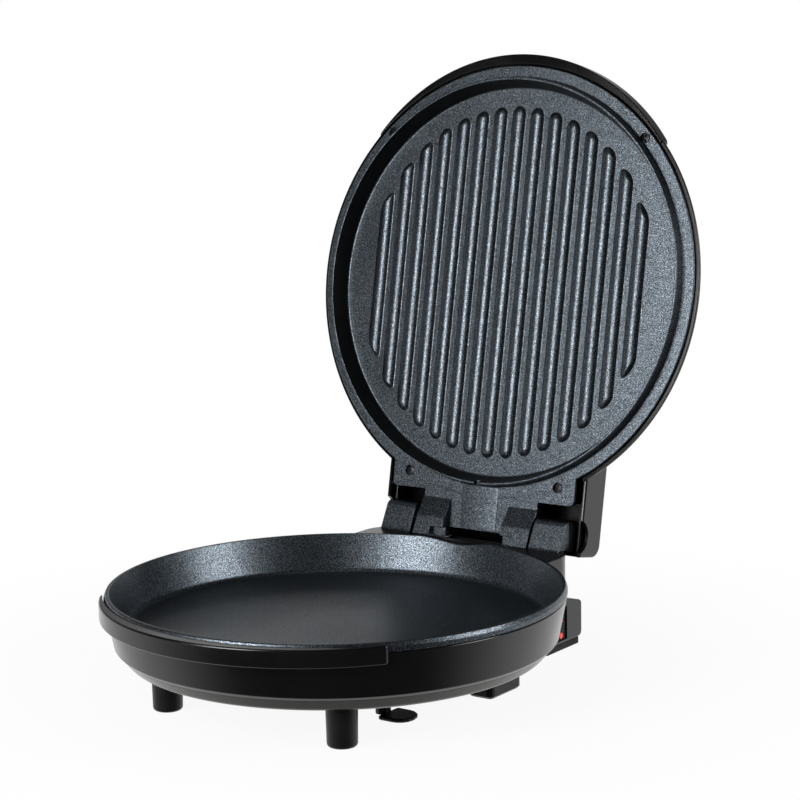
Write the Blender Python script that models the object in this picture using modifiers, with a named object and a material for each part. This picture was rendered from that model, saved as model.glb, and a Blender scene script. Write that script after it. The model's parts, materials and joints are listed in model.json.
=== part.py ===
"""Electric baking pan with a hinged ribbed lid, modelled open as it stands on a worktop.

The base frame has its zero at the centre of the pan's rim plane, with +Y towards the hinge.
The lid frame has u along X, v from the hinge towards the grip and h out of the cooking face,
with its zero at the middle of the ribbed floor.
"""
import math

import bmesh
import bpy
from mathutils import Vector

MM = 0.001

# Shared sizes
GAP = 0.3 * MM
OVERRUN = 40 * MM
OPEN_ANGLE = 101.0
HALF_TURN = 180.0
ROUND_STEPS = 52
HIDDEN_STEPS = 32
BAR_STEPS = 16

# Lower pan
PAN_RADIUS = 150 * MM
PAN_TAPER = 8.4 * MM
PAN_FLOOR_RADIUS = PAN_RADIUS - PAN_TAPER
PAN_DEPTH = 26.4 * MM
PAN_WALL = 3.0 * MM
PAN_UNDERSIDE = PAN_DEPTH + PAN_WALL
PAN_FILLET = 5.0 * MM
RIM_WIDTH = 3.6 * MM
RIM_RADIUS = PAN_RADIUS + RIM_WIDTH
RIM_DROP = 6.0 * MM
RIM_EDGE = 0.8 * MM
RIM_CHAMFER = 1.8 * MM
DIP_HALF_WIDTH = 33 * MM
DIP_DEPTH = 3.4 * MM

# Base housing
HOUSING_WALL = 2.5 * MM
HOUSING_MARGIN = 4.0 * MM
HOUSING_BOTTOM_RADIUS = PAN_FLOOR_RADIUS + HOUSING_MARGIN
HOUSING_ROOM = 7.6 * MM
HOUSING_HEIGHT = PAN_UNDERSIDE + HOUSING_ROOM
COVER_DROP = 9.2 * MM
COVER_DEPTH = HOUSING_HEIGHT + COVER_DROP
FOOT_HEIGHT = 28.8 * MM
RIM_HEIGHT = COVER_DEPTH + FOOT_HEIGHT
HOUSING_TURN = 2.2 * MM
BAND_LEDGE = 3.6 * MM
BAND_RADIUS = RIM_RADIUS + BAND_LEDGE
BAND_BOTTOM = 13.2 * MM
BAND_STEP = 1.6 * MM
SEAT_CLEARANCE = 0.7 * MM
GRIP_ANGLE = 49.5
GRIP_BULGE = 5.5 * MM
BASE_GRIP_TOP = 1.2 * MM
BASE_GRIP_BEVEL = 1.1 * MM

# Hinge
HINGE_SETBACK = 25.7 * MM
HINGE_BACK = PAN_RADIUS + HINGE_SETBACK
HINGE_RISE = 7.0 * MM
PIN_RADIUS = 4.0 * MM
PIN_END = 1.2 * MM
KNUCKLE_RADIUS = 11.0 * MM
SWING_CLEARANCE = 0.8 * MM
LUG_INNER = 24.6 * MM
LUG_WIDTH = 24.4 * MM
LUG_OUTER = LUG_INNER + LUG_WIDTH
LUG_PLAY = 2.2 * MM
LUG_RUN = 15.2 * MM
LUG_BEND_RUN = 1.7 * MM
LUG_BEND_RISE = 13 * MM
LUG_OVERHANG = 12.3 * MM
LUG_RISE = 17 * MM
LUG_REACH = math.hypot(LUG_OVERHANG, LUG_RISE)
LUG_NOTCH_WIDTH = 10.4 * MM
LUG_NOTCH_RUN = 5.5 * MM
LUG_KNUCKLE_ARC = (190.0, 320.0)
EAR_INNER = LUG_OUTER + LUG_PLAY
EAR_WIDTH = 25.6 * MM
EAR_OUTER = EAR_INNER + EAR_WIDTH
EAR_REACH = 20.2 * MM
EAR_TOP = 19.4 * MM
EAR_ROUND = 3.0 * MM
EAR_KNUCKLE_ARC = (70.0, -118.0)

# Hinge deck behind the pan
DECK_MARGIN = 7.4 * MM
DECK_HALF_WIDTH = EAR_OUTER + DECK_MARGIN
DECK_INSET = 5.7 * MM
DECK_BACK = HINGE_BACK - DECK_INSET
DECK_LAP = 32 * MM
DECK_FRONT = PAN_RADIUS - DECK_LAP
DECK_CORNER = 23.5 * MM
DECK_DROP = 1.0 * MM
WIRE_PORT_WIDTH = 26 * MM
WIRE_PORT_HEIGHT = 9 * MM
RING_KEEP_SHARE = 0.8
RING_BORE_SHARE = 0.5

# Terminal housing behind the deck
TAIL_MARGIN = 10.7 * MM
TAIL_HALF_WIDTH = DECK_HALF_WIDTH - TAIL_MARGIN
TAIL_CLEARANCE = 1.6 * MM
TAIL_FRONT = HOUSING_BOTTOM_RADIUS + TAIL_CLEARANCE
TAIL_REACH = 23 * MM
TAIL_BACK = DECK_BACK + TAIL_REACH
TAIL_TOP = HOUSING_HEIGHT
TAIL_FALL = 6.0 * MM
TAIL_STAND = 6.0 * MM
TAIL_BOTTOM = RIM_HEIGHT - TAIL_STAND
TAIL_FLOOR = 1.4 * MM
TAIL_CORNER = 3.0 * MM
TAIL_EDGE = 1.2 * MM
TAIL_FOOT_INSET = 1.6 * MM

# Indicator strip
STRIP_SETBACK = 10.8 * MM
STRIP_FRONT = TAIL_FRONT + STRIP_SETBACK
STRIP_WIDTH = 14.6 * MM
STRIP_BACK = STRIP_FRONT + STRIP_WIDTH
STRIP_DROP = 6.0 * MM
STRIP_TOP = TAIL_TOP + STRIP_DROP
STRIP_LIFT = 2.0 * MM
STRIP_BOTTOM = TAIL_BOTTOM - STRIP_LIFT
STRIP_SINK = 1.2 * MM
STRIP_LIP = 1.6 * MM
LAMP_RADIUS = 2.4 * MM
LAMP_SETBACK = 7.8 * MM
LAMP_BACK = STRIP_FRONT + LAMP_SETBACK
LAMP_DROP = 9.6 * MM
LAMP_FIRST = STRIP_TOP + LAMP_DROP
LAMP_LIFT = 3.4 * MM
LAMP_PITCH = STRIP_BOTTOM - LAMP_LIFT - LAMP_FIRST
LAMP_DOME = 0.7 * MM
LAMP_LENGTH = 5.0 * MM

# Power inlet
INLET_MARGIN = 37.5 * MM
INLET_X = INLET_MARGIN - TAIL_HALF_WIDTH
INLET_WIDTH = 27 * MM
INLET_ROOM = 7.0 * MM
INLET_HEIGHT = TAIL_BOTTOM - TAIL_TOP - TAIL_FALL - INLET_ROOM
INLET_FLANGE = 1.8 * MM
INLET_FLANGE_LIP = 1.9 * MM
INLET_WALL = 1.4 * MM
INLET_DEPTH = 18 * MM
INLET_CHAMFER = 4.5 * MM
BLADE_WIDTH = 2.0 * MM
BLADE_HEIGHT = 4.0 * MM
BLADE_LENGTH = 13 * MM
BLADE_PITCH = 7.0 * MM
BLADE_RAISE = 3.5 * MM
BLADE_TAIL = 6.0 * MM

# Bottom cover and heat shield
COVER_SHEET = 0.9 * MM
COVER_TAPER = 8.0 * MM
COVER_CORNER_RADIUS = HOUSING_BOTTOM_RADIUS - COVER_TAPER
COVER_TURN = 8.5 * MM
SHIELD_SHEET = 0.8 * MM
SHIELD_ROOM = 10.0 * MM
SHIELD_DEPTH = PAN_UNDERSIDE + SHIELD_ROOM
SHIELD_RIM_ROOM = 1.6 * MM
SHIELD_RIM = PAN_UNDERSIDE + SHIELD_RIM_ROOM
SHIELD_INSET = 19.6 * MM
SHIELD_FLAT_RADIUS = PAN_FLOOR_RADIUS - SHIELD_INSET

# Feet, each on a circle inside the cover's edge, with its angle from the +X axis
FOOT_INSET = 22.2 * MM
FOOT_ANGLE = -51.7
FOOT_TOP_RADIUS = 10.9 * MM
FOOT_RADIUS = 9.8 * MM
FOOT_TURN = 2.4 * MM
BLOCK_INSET = 33.2 * MM
BLOCK_ANGLE = 33.75
BLOCK_WIDTH = 20 * MM
BLOCK_LENGTH = 37 * MM
BLOCK_CORNER = 4.0 * MM
BLOCK_EDGE = 1.6 * MM

# Cord hooks: a round post with a flat half-moon plate that points outwards
HOOK_INSET = 54.4 * MM
HOOK_ANGLE = -32.74
HOOK_POST = 5.0 * MM
HOOK_DROP = 17.8 * MM
HOOK_SETBACK = 3.4 * MM
HOOK_REACH = 24 * MM
HOOK_PLATE_LENGTH = 22 * MM
HOOK_PLATE = 2.8 * MM
HOOK_CORNER = 2.0 * MM
HOOK_NOSE = 10 * MM
HOOK_EDGE = 0.8 * MM

# Heating parts
ELEMENT_RADIUS = 3.3 * MM
ELEMENT_INSET = 43.6 * MM
ELEMENT_CIRCLE = PAN_FLOOR_RADIUS - ELEMENT_INSET
ELEMENT_OPENING = 24.0
ELEMENT_TAIL = 26 * MM
ELEMENT_BEND = 9.0 * MM
PAN_BOSS_RADIUS = 4.5 * MM
PAN_BOSS_INSET = 36 * MM
PAN_BOSS_CIRCLE = ELEMENT_CIRCLE - PAN_BOSS_INSET
SENSOR_RADIUS = 8.6 * MM
SENSOR_HEIGHT = 6.5 * MM
SENSOR_PLATE = 12.5 * MM
SENSOR_PLATE_SHEET = 1.2 * MM
FUSE_RADIUS = 2.6 * MM
FUSE_LENGTH = 22 * MM
FUSE_PLACE = (SENSOR_PLATE + PAN_BOSS_CIRCLE) / 2
TERMINAL_WIDTH = 46 * MM
TERMINAL_DEPTH = 14 * MM
TERMINAL_HEIGHT = 13 * MM
TERMINAL_X = 28 * MM
TERMINAL_EDGE = 1.5 * MM

# Upper plate
PLATE_WALL = 3.0 * MM
PLATE_FILLET = 4.0 * MM
LIP_HEIGHT = 13.6 * MM
LIP_WIDTH = 1.8 * MM
LIP_FOOT = 0.9 * MM
LIP_CLEARANCE = 0.9 * MM
LIP_DIP = LIP_HEIGHT - HINGE_RISE
LIP_RADIUS = PAN_RADIUS - PAN_TAPER * LIP_DIP / PAN_DEPTH - LIP_CLEARANCE - LIP_WIDTH
LIP_LEAN = 4.3 * MM
LIP_NOTCH = 3.6 * MM
PLATE_FLOOR_RADIUS = LIP_RADIUS - LIP_LEAN
FLANGE_WIDTH = 8.6 * MM
FLANGE_RADIUS = LIP_RADIUS + LIP_WIDTH + LIP_FOOT + FLANGE_WIDTH
FLANGE_LEVEL = 6.0 * MM
FLANGE_SHEET = 3.5 * MM
RIB_COUNT = 15
RIB_MARGIN = 12.4 * MM
RIB_CIRCLE = PLATE_FLOOR_RADIUS - RIB_MARGIN
RIB_SIDE_INSET = 20.35 * MM
RIB_PITCH = 2 * (RIB_CIRCLE - RIB_SIDE_INSET) / (RIB_COUNT - 1)
RIB_WIDTH = 8.6 * MM
RIB_HEIGHT = 2.4 * MM
RIB_SINK = 1.2 * MM

# Hinge side of the upper plate
EAR_PLAY = 0.5 * MM
TAB_MARGIN = 1.2 * MM
TAB_HALF = EAR_OUTER + TAB_MARGIN
TAB_END = HINGE_BACK - EAR_REACH - EAR_PLAY
TAB_LAP = 44.5 * MM
TAB_START = FLANGE_RADIUS - TAB_LAP
TAB_CORNER = 4.0 * MM
TAB_STEP = 0.15 * MM
TONGUE_INSET = 0.6 * MM
TONGUE_HALF = LUG_OUTER - TONGUE_INSET
TONGUE_LAP = 6.0 * MM
TONGUE_START = TAB_END - TONGUE_LAP
TONGUE_OVERHANG = 4.5 * MM
TONGUE_END = HINGE_BACK + TONGUE_OVERHANG
BAND_HALF = 15.3 * MM
BAND_LAP = 7.0 * MM
BAND_START = TAB_END - BAND_LAP
BAND_RAISE = 0.6 * MM

# Plate screws
SCREW_FRONT_INSET = 5.6 * MM
SCREW_FRONT_ANGLE = 44.62
SCREW_BACK_INSET = 14.1 * MM
SCREW_BACK_LAP = 12 * MM
SCREW_HEAD_RADIUS = 3.4 * MM
SCREW_HEAD = 1.7 * MM
SCREW_SHANK_RADIUS = 1.6 * MM
SCREW_LENGTH = 11 * MM
SCREW_SINK = 0.9 * MM
SCREW_BOSS_RADIUS = 3.4 * MM

# Lid shell
SHELL_MARGIN = 3.0 * MM
SHELL_RADIUS = FLANGE_RADIUS + SHELL_MARGIN
SHELL_EDGE = 2.2 * MM
SHELL_LEVEL = 4.0 * MM
SHELL_WALL = 2.5 * MM
SHELL_DEPTH = 30 * MM
SHELL_SHOULDER_INSET = 8.0 * MM
SHELL_SHOULDER_DEPTH = 10 * MM
SHELL_BROW_INSET = 19.5 * MM
SHELL_BROW_DEPTH = 22 * MM
SHELL_CROWN_INSET = 49.5 * MM
SHELL_CROWN_DEPTH = 27.5 * MM
HOOD_MARGIN = 8.2 * MM
HOOD_HALF_WIDTH = EAR_OUTER + HOOD_MARGIN
HOOD_LAP = 75.7 * MM
HOOD_START = HINGE_BACK - HOOD_LAP
HOOD_OVERHANG = 14.3 * MM
HOOD_END = HINGE_BACK + HOOD_OVERHANG
HOOD_LEVEL = 2.0 * MM
HOOD_DEPTH = 25 * MM
HOOD_CORNER = 9 * MM
HOOD_BACK_WALL_TOP = 2.0 * MM
HOOD_SCALLOP = 12.0 * MM
HOOD_SCALLOP_LEVEL = 5.0 * MM
HOOD_RIB = 2.0 * MM
HOOD_RIB_SETBACK = 2.5 * MM
HOOD_RIB_V = TAB_END - HOOD_RIB_SETBACK
HOOD_RIB_MARGIN = 1.8 * MM
HOOD_RIB_U = EAR_OUTER + HOOD_RIB_MARGIN
LID_GRIP_LEVEL = 6.3 * MM
LID_GRIP_DEPTH = 5.0 * MM
LID_GRIP_CLEARANCE = 1.1 * MM
LID_GRIP_BEVEL = 1.2 * MM

# Lid shield
LID_SHIELD_DEPTH = 14 * MM
LID_SHIELD_INSET = 9.0 * MM


def clear_scene():
    for item in list(bpy.data.objects):
        bpy.data.objects.remove(item, do_unlink=True)


def new_collection(name):
    group = bpy.data.collections.new(name)
    bpy.context.scene.collection.children.link(group)
    return group


def new_material(name, colour, roughness, metallic=0.0):
    material = bpy.data.materials.new(name)
    material.use_nodes = True
    shader = material.node_tree.nodes["Principled BSDF"]
    shader.inputs["Base Color"].default_value = (*colour, 1.0)
    shader.inputs["Roughness"].default_value = roughness
    shader.inputs["Metallic"].default_value = metallic
    material.diffuse_color = (*colour, 1.0)
    return material


def place(item, carrier, location=(0, 0, 0)):
    item.parent = carrier
    item.location = location
    return item


def finish_part(item, name, material, sharp=35.0):
    item.name = name
    item.data.name = name
    item.data.materials.clear()
    item.data.materials.append(material)
    item.data.shade_smooth()
    item.data.set_sharp_from_angle(angle=math.radians(sharp))
    return item


def flatten(item):
    """Merge the flat fans that the sweep leaves, so that later cuts make few faces."""
    step = item.modifiers.new("flatten", "DECIMATE")
    step.decimate_type = "DISSOLVE"
    step.angle_limit = math.radians(0.5)
    return item


def as_tool(item):
    for group in list(item.users_collection):
        group.objects.unlink(item)
    TOOLS.objects.link(item)
    item.hide_render = True
    item.hide_set(True)
    item.display_type = "WIRE"
    return item


def combine(item, tool, operation):
    as_tool(tool)
    step = item.modifiers.new(operation.lower(), "BOOLEAN")
    step.operation = operation
    step.solver = "EXACT"
    step.object = tool
    return item


def cut(item, tool):
    return combine(item, tool, "DIFFERENCE")


def join(item, tool):
    return combine(item, tool, "UNION")


def mesh_object(name, carrier, location=(0, 0, 0)):
    item = bpy.data.objects.new(name, bpy.data.meshes.new(name))
    PARTS.objects.link(item)
    return place(item, carrier, location)


def from_bmesh(shape, name, carrier, location=(0, 0, 0)):
    item = mesh_object(name, carrier, location)
    shape.to_mesh(item.data)
    shape.free()
    return item


def box(name, carrier, low, high, edge=0.0, segments=2):
    shape = bmesh.new()
    bmesh.ops.create_cube(shape, size=1.0)
    size = Vector(high) - Vector(low)
    for vert in shape.verts:
        vert.co = Vector(a * b for a, b in zip(vert.co, size))
    item = from_bmesh(shape, name, carrier, (Vector(low) + Vector(high)) / 2)
    if edge:
        round_edges(item, edge, segments)
    return item


def round_edges(item, width, segments=2, angle=40.0):
    step = item.modifiers.new("round", "BEVEL")
    step.width = width
    step.segments = segments
    step.limit_method = "ANGLE"
    step.angle_limit = math.radians(angle)
    return step


def cylinder(name, carrier, radius, start, end, steps):
    """A round bar from start to end, both in the carrier's frame."""
    way = Vector(end) - Vector(start)
    shape = bmesh.new()
    bmesh.ops.create_cone(shape, cap_ends=True, segments=steps, radius1=radius, radius2=radius,
                          depth=way.length)
    item = from_bmesh(shape, name, carrier, (Vector(start) + Vector(end)) / 2)
    item.rotation_mode = "QUATERNION"
    item.rotation_quaternion = way.to_track_quat("Z", "Y")
    return item


def rounded(corners, steps=2, closed=False):
    """Points along straight runs, with an arc of the given radius at each corner (x, y, radius)."""
    points = []
    count = len(corners)
    for index, corner in enumerate(corners):
        here = Vector(corner[:2])
        radius = corner[2] if len(corner) > 2 else 0.0
        at_end = not closed and index in (0, count - 1)
        if at_end or not radius:
            points.append(here)
            continue
        back = (Vector(corners[index - 1][:2]) - here).normalized()
        ahead = (Vector(corners[(index + 1) % count][:2]) - here).normalized()
        half = back.angle(ahead) / 2
        reach = radius / math.tan(half)
        centre = here + (back + ahead).normalized() * (radius / math.sin(half))
        first = here + back * reach - centre
        last = here + ahead * reach - centre
        sweep = first.angle_signed(last)
        for step in range(steps + 1):
            turn = -sweep * step / steps
            arm = Vector((first.x * math.cos(turn) - first.y * math.sin(turn),
                          first.x * math.sin(turn) + first.y * math.cos(turn)))
            points.append(centre + arm)
    return points


def turned(name, carrier, points, steps=ROUND_STEPS, closed=False, location=(0, 0, 0)):
    """A profile of radius and height, top to bottom down its outer side, swept round Z."""
    item = mesh_object(name, carrier, location)
    shape = bmesh.new()
    verts = [shape.verts.new((point[0], 0, point[1])) for point in points]
    for first, second in zip(verts, verts[1:]):
        shape.edges.new((first, second))
    if closed:
        shape.edges.new((verts[-1], verts[0]))
    shape.to_mesh(item.data)
    shape.free()
    step = item.modifiers.new("turn", "SCREW")
    step.angle = math.radians(360.0)
    step.steps = steps
    step.render_steps = steps
    step.use_merge_vertices = True
    step.merge_threshold = 1e-5
    step.use_smooth_shade = True
    return item


def face_outwards(shape):
    bmesh.ops.recalc_face_normals(shape, faces=shape.faces)
    if shape.calc_volume(signed=True) < 0:
        bmesh.ops.reverse_faces(shape, faces=shape.faces)


def slab(name, carrier, outline, low, high, across="Z", edge=0.0, segments=2):
    """A flat outline as thick as from low to high along Z, or along X for a (y, z) outline."""
    flat = bpy.data.curves.new(name, "CURVE")
    flat.dimensions = "2D"
    flat.fill_mode = "BOTH"
    flat.extrude = (high - low) / 2
    line = flat.splines.new("POLY")
    line.points.add(len(outline) - 1)
    for point, place_at in zip(line.points, outline):
        point.co = (place_at[0], place_at[1], 0, 1)
    line.use_cyclic_u = True
    guide = bpy.data.objects.new(name, flat)
    PARTS.objects.link(guide)
    bpy.context.view_layer.update()
    seen = guide.evaluated_get(bpy.context.evaluated_depsgraph_get())
    mesh = bpy.data.meshes.new_from_object(seen)
    item = bpy.data.objects.new(name, mesh)
    PARTS.objects.link(item)
    bpy.data.objects.remove(guide, do_unlink=True)
    shape = bmesh.new()
    shape.from_mesh(mesh)
    bmesh.ops.remove_doubles(shape, verts=shape.verts, dist=1e-6)
    bmesh.ops.dissolve_limit(shape, angle_limit=math.radians(0.5), verts=shape.verts, edges=shape.edges)
    for vert in shape.verts:
        x, y, z = vert.co
        vert.co = (z, x, y) if across == "X" else (x, y, z)
    face_outwards(shape)
    shape.to_mesh(mesh)
    shape.free()
    middle = (low + high) / 2
    place(item, carrier, (middle, 0, 0) if across == "X" else (0, 0, middle))
    if edge:
        round_edges(item, edge, segments)
    return item


def tube(name, carrier, route, radius, sides=1):
    """A round bar bent along a route of points, as a mesh with closed ends."""
    bent = bpy.data.curves.new(name, "CURVE")
    bent.dimensions = "3D"
    bent.bevel_depth = radius
    bent.bevel_resolution = sides
    bent.use_fill_caps = True
    line = bent.splines.new("POLY")
    line.points.add(len(route) - 1)
    for point, place_at in zip(line.points, route):
        point.co = (*place_at, 1)
    guide = bpy.data.objects.new(name, bent)
    PARTS.objects.link(guide)
    bpy.context.view_layer.update()
    mesh = bpy.data.meshes.new_from_object(guide.evaluated_get(bpy.context.evaluated_depsgraph_get()))
    bpy.data.objects.remove(guide, do_unlink=True)
    item = bpy.data.objects.new(name, mesh)
    PARTS.objects.link(item)
    shape = bmesh.new()
    shape.from_mesh(mesh)
    bmesh.ops.remove_doubles(shape, verts=shape.verts, dist=1e-6)
    face_outwards(shape)
    shape.to_mesh(mesh)
    shape.free()
    return place(item, carrier)


def both_sides(make, *values):
    """Make the right and the left copy of a piece that stands to each side of the middle."""
    return [make(side, word, *values) for side, word in ((1, "right"), (-1, "left"))]


def on_circle(radius, angle):
    """The x and y of a point on a circle round the pan's axis, at an angle from +X in degrees."""
    turn = math.radians(angle)
    return radius * math.cos(turn), radius * math.sin(turn)


def pan_inside(depth):
    """The pan's inside radius at a depth below its rim."""
    return PAN_RADIUS - PAN_TAPER * depth / PAN_DEPTH


def grip_outline(inner, outer, bulge):
    """A crescent between a circle and a flatter arc that stands out by bulge, towards -Y."""
    half = math.radians(GRIP_ANGLE)
    side = outer * math.sin(half)
    front = outer * math.cos(half)
    peak = outer + bulge
    centre = (side * side + front * front - peak * peak) / (2 * (front - peak))
    radius = peak - centre
    reach = math.atan2(side, front - centre)
    count = 16
    shares = [2 * index / count - 1 for index in range(count + 1)]
    far = [(radius * math.sin(share * reach), -centre - radius * math.cos(share * reach))
           for share in shares]
    near = [(inner * math.sin(share * half), -inner * math.cos(share * half))
            for share in reversed(shares)]
    return far + near


def make_pan(carrier, material):
    wall = PAN_WALL / math.cos(math.atan2(PAN_TAPER, PAN_DEPTH))
    profile = rounded([
        (0, -PAN_DEPTH),
        (PAN_FLOOR_RADIUS, -PAN_DEPTH, PAN_FILLET),
        (PAN_RADIUS, 0, RIM_EDGE / 2),
        (RIM_RADIUS - RIM_CHAMFER, 0, RIM_EDGE),
        (RIM_RADIUS, -RIM_DROP + RIM_EDGE),
        (RIM_RADIUS - RIM_EDGE, -RIM_DROP),
        (pan_inside(RIM_DROP) + wall, -RIM_DROP),
        (pan_inside(PAN_UNDERSIDE) + wall - PAN_FILLET / 2, -PAN_UNDERSIDE),
        (0, -PAN_UNDERSIDE),
    ])
    pan = turned("lower_pan", carrier, profile)
    sweep = (DIP_HALF_WIDTH ** 2 + DIP_DEPTH ** 2) / (2 * DIP_DEPTH)
    start = (0, PAN_RADIUS - OVERRUN, sweep - DIP_DEPTH)
    end = (0, PAN_RADIUS + OVERRUN, sweep - DIP_DEPTH)
    cut(pan, cylinder("rim_dip_tool", carrier, sweep, start, end, ROUND_STEPS * 3))
    for angle in (90, 210, 330):
        place_at = on_circle(PAN_BOSS_CIRCLE, angle)
        top = (*place_at, -PAN_DEPTH - PAN_WALL / 2)
        bottom = (*place_at, -SHIELD_DEPTH + GAP + SHIELD_SHEET)
        join(pan, cylinder("pan_boss_tool", carrier, PAN_BOSS_RADIUS, bottom, top, BAR_STEPS))
    return finish_part(pan, "lower_pan", material)


def deck_outline(inset):
    half = DECK_HALF_WIDTH - inset
    back = DECK_BACK - inset
    corner = DECK_CORNER - inset
    return rounded([
        (-half, DECK_FRONT),
        (half, DECK_FRONT),
        (half, back, corner),
        (-half, back, corner),
    ], steps=6, closed=True)


def housing_profile():
    seat = RIM_DROP + GAP / 2
    inner = pan_inside(RIM_DROP) + PAN_WALL + SEAT_CLEARANCE
    wall_top = BAND_RADIUS - BAND_STEP
    turn_radius = HOUSING_BOTTOM_RADIUS + HOUSING_TURN
    return rounded([
        (inner, -seat),
        (RIM_RADIUS, -seat),
        (BAND_RADIUS, -seat - BAND_STEP / 2, BAND_STEP),
        (BAND_RADIUS, -BAND_BOTTOM),
        (wall_top, -BAND_BOTTOM - BAND_STEP / 4),
        (turn_radius, -HOUSING_HEIGHT + HOUSING_TURN, HOUSING_TURN),
        (HOUSING_BOTTOM_RADIUS, -HOUSING_HEIGHT),
        (HOUSING_BOTTOM_RADIUS - HOUSING_WALL, -HOUSING_HEIGHT),
        (turn_radius - HOUSING_WALL, -HOUSING_HEIGHT + HOUSING_TURN),
        (inner, -BAND_BOTTOM - BAND_STEP),
    ], closed=True)


def wall_core(name, carrier, share):
    """A solid whose side runs inside the housing's wall, at a share of the wall's thickness."""
    top_inner = pan_inside(RIM_DROP) + PAN_WALL + SEAT_CLEARANCE
    top = top_inner + (BAND_RADIUS - BAND_STEP - top_inner) * share
    bottom = HOUSING_BOTTOM_RADIUS + HOUSING_TURN - HOUSING_WALL * (1 - share)
    return turned(name, carrier, [
        (0, OVERRUN),
        (top, OVERRUN),
        (top, -BAND_BOTTOM - BAND_STEP),
        (bottom, -HOUSING_HEIGHT + HOUSING_TURN),
        (bottom, -TAIL_BOTTOM),
        (0, -TAIL_BOTTOM),
    ], HIDDEN_STEPS)


def make_housing(carrier, material):
    housing = turned("base_housing", carrier, housing_profile(), closed=True)
    floor = -HOUSING_HEIGHT + GAP
    deck = slab("deck_tool", carrier, deck_outline(0), floor, -DECK_DROP)
    hollow = slab("deck_hollow_tool", carrier, deck_outline(HOUSING_WALL), floor - OVERRUN,
                  -DECK_DROP - HOUSING_WALL)
    axis = (HINGE_BACK, HINGE_RISE)
    scoop = LUG_REACH + SWING_CLEARANCE
    half = (LUG_OUTER + EAR_INNER) / 2
    outer = half + HOUSING_WALL
    cut(hollow, cylinder("scoop_wall_tool", carrier, scoop + HOUSING_WALL, (-outer, *axis), (outer, *axis),
                         HIDDEN_STEPS))
    cut(hollow, wall_core("ring_keep_tool", carrier, RING_KEEP_SHARE))
    cut(deck, wall_core("ring_bore_tool", carrier, RING_BORE_SHARE))
    join(housing, deck)
    join(housing, make_base_grip(carrier))
    cut(housing, cylinder("pan_well_tool", carrier, RIM_RADIUS + SEAT_CLEARANCE, (0, 0, -RIM_DROP - GAP),
                          (0, 0, OVERRUN), ROUND_STEPS))
    cut(housing, hollow)
    cut(housing, cylinder("scoop_tool", carrier, scoop, (-half, *axis), (half, *axis), HIDDEN_STEPS))
    port = WIRE_PORT_WIDTH / 2
    port_top = -BAND_BOTTOM - BAND_STEP * 2
    cut(housing, box("wire_port_tool", carrier,
                     (-port, HOUSING_BOTTOM_RADIUS - HOUSING_MARGIN * 2, port_top - WIRE_PORT_HEIGHT),
                     (port, BAND_RADIUS + BAND_STEP, port_top)))
    return finish_part(housing, "base_housing", material)


def make_base_grip(carrier):
    sunk = BAND_STEP / 3
    outline = grip_outline(RIM_RADIUS - GAP, BAND_RADIUS - sunk, GRIP_BULGE + sunk)
    return slab("base_grip_tool", carrier, outline, -BAND_BOTTOM + BAND_STEP / 4, -BASE_GRIP_TOP,
                edge=BASE_GRIP_BEVEL)


def arc(centre, radius, start, end, count):
    """Points on an arc between two angles in degrees."""
    turns = [math.radians(start + (end - start) * index / count) for index in range(count + 1)]
    return [(centre[0] + radius * math.cos(turn), centre[1] + radius * math.sin(turn)) for turn in turns]


def ear_outline():
    """Side view of an ear, as y and z in the base frame, with its front on an arc round the pin."""
    axis = (HINGE_BACK, HINGE_RISE)
    foot = -DECK_DROP + GAP
    low = math.degrees(math.asin((foot - HINGE_RISE) / EAR_REACH))
    high = math.degrees(math.asin((EAR_TOP - HINGE_RISE) / EAR_REACH))
    front = arc(axis, EAR_REACH, HALF_TURN - low, HALF_TURN - high, 6)
    crown = rounded([front[-2], front[-1] + (EAR_ROUND,), (HINGE_BACK - EAR_ROUND, EAR_TOP, EAR_ROUND),
                     (HINGE_BACK + EAR_ROUND, HINGE_RISE + KNUCKLE_RADIUS - GAP)])
    back = arc(axis, KNUCKLE_RADIUS, *EAR_KNUCKLE_ARC, 10)
    return front[:-2] + crown[:-1] + back + [(DECK_BACK + GAP, foot)]


def make_ear(side, word, carrier, material):
    low, high = sorted((side * EAR_INNER, side * EAR_OUTER))
    ear = slab(f"hinge_ear_{word}", carrier, ear_outline(), low, high, across="X")
    start = (low - OVERRUN, HINGE_BACK, HINGE_RISE)
    end = (high + OVERRUN, HINGE_BACK, HINGE_RISE)
    cut(ear, cylinder("ear_bore_tool", carrier, PIN_RADIUS + GAP, start, end, BAR_STEPS))
    return finish_part(ear, f"hinge_ear_{word}", material)


def make_pin(side, word, carrier, material):
    start = (side * (LUG_INNER + PIN_END), HINGE_BACK, HINGE_RISE)
    end = (side * (EAR_OUTER - PIN_END / 2), HINGE_BACK, HINGE_RISE)
    pin = cylinder(f"hinge_pin_{word}", carrier, PIN_RADIUS, start, end, BAR_STEPS)
    return finish_part(pin, f"hinge_pin_{word}", material)


def tail_outline(inset, slope_front, floor):
    back = TAIL_BACK - inset
    return rounded([
        (TAIL_FRONT + inset, -TAIL_BOTTOM + floor, TAIL_CORNER),
        (back, -TAIL_BOTTOM + floor, TAIL_CORNER),
        (back, -TAIL_TOP - TAIL_FALL - inset, TAIL_CORNER),
        (slope_front, -TAIL_TOP - inset),
        (TAIL_FRONT + inset, -TAIL_TOP - inset),
    ], closed=True)


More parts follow.
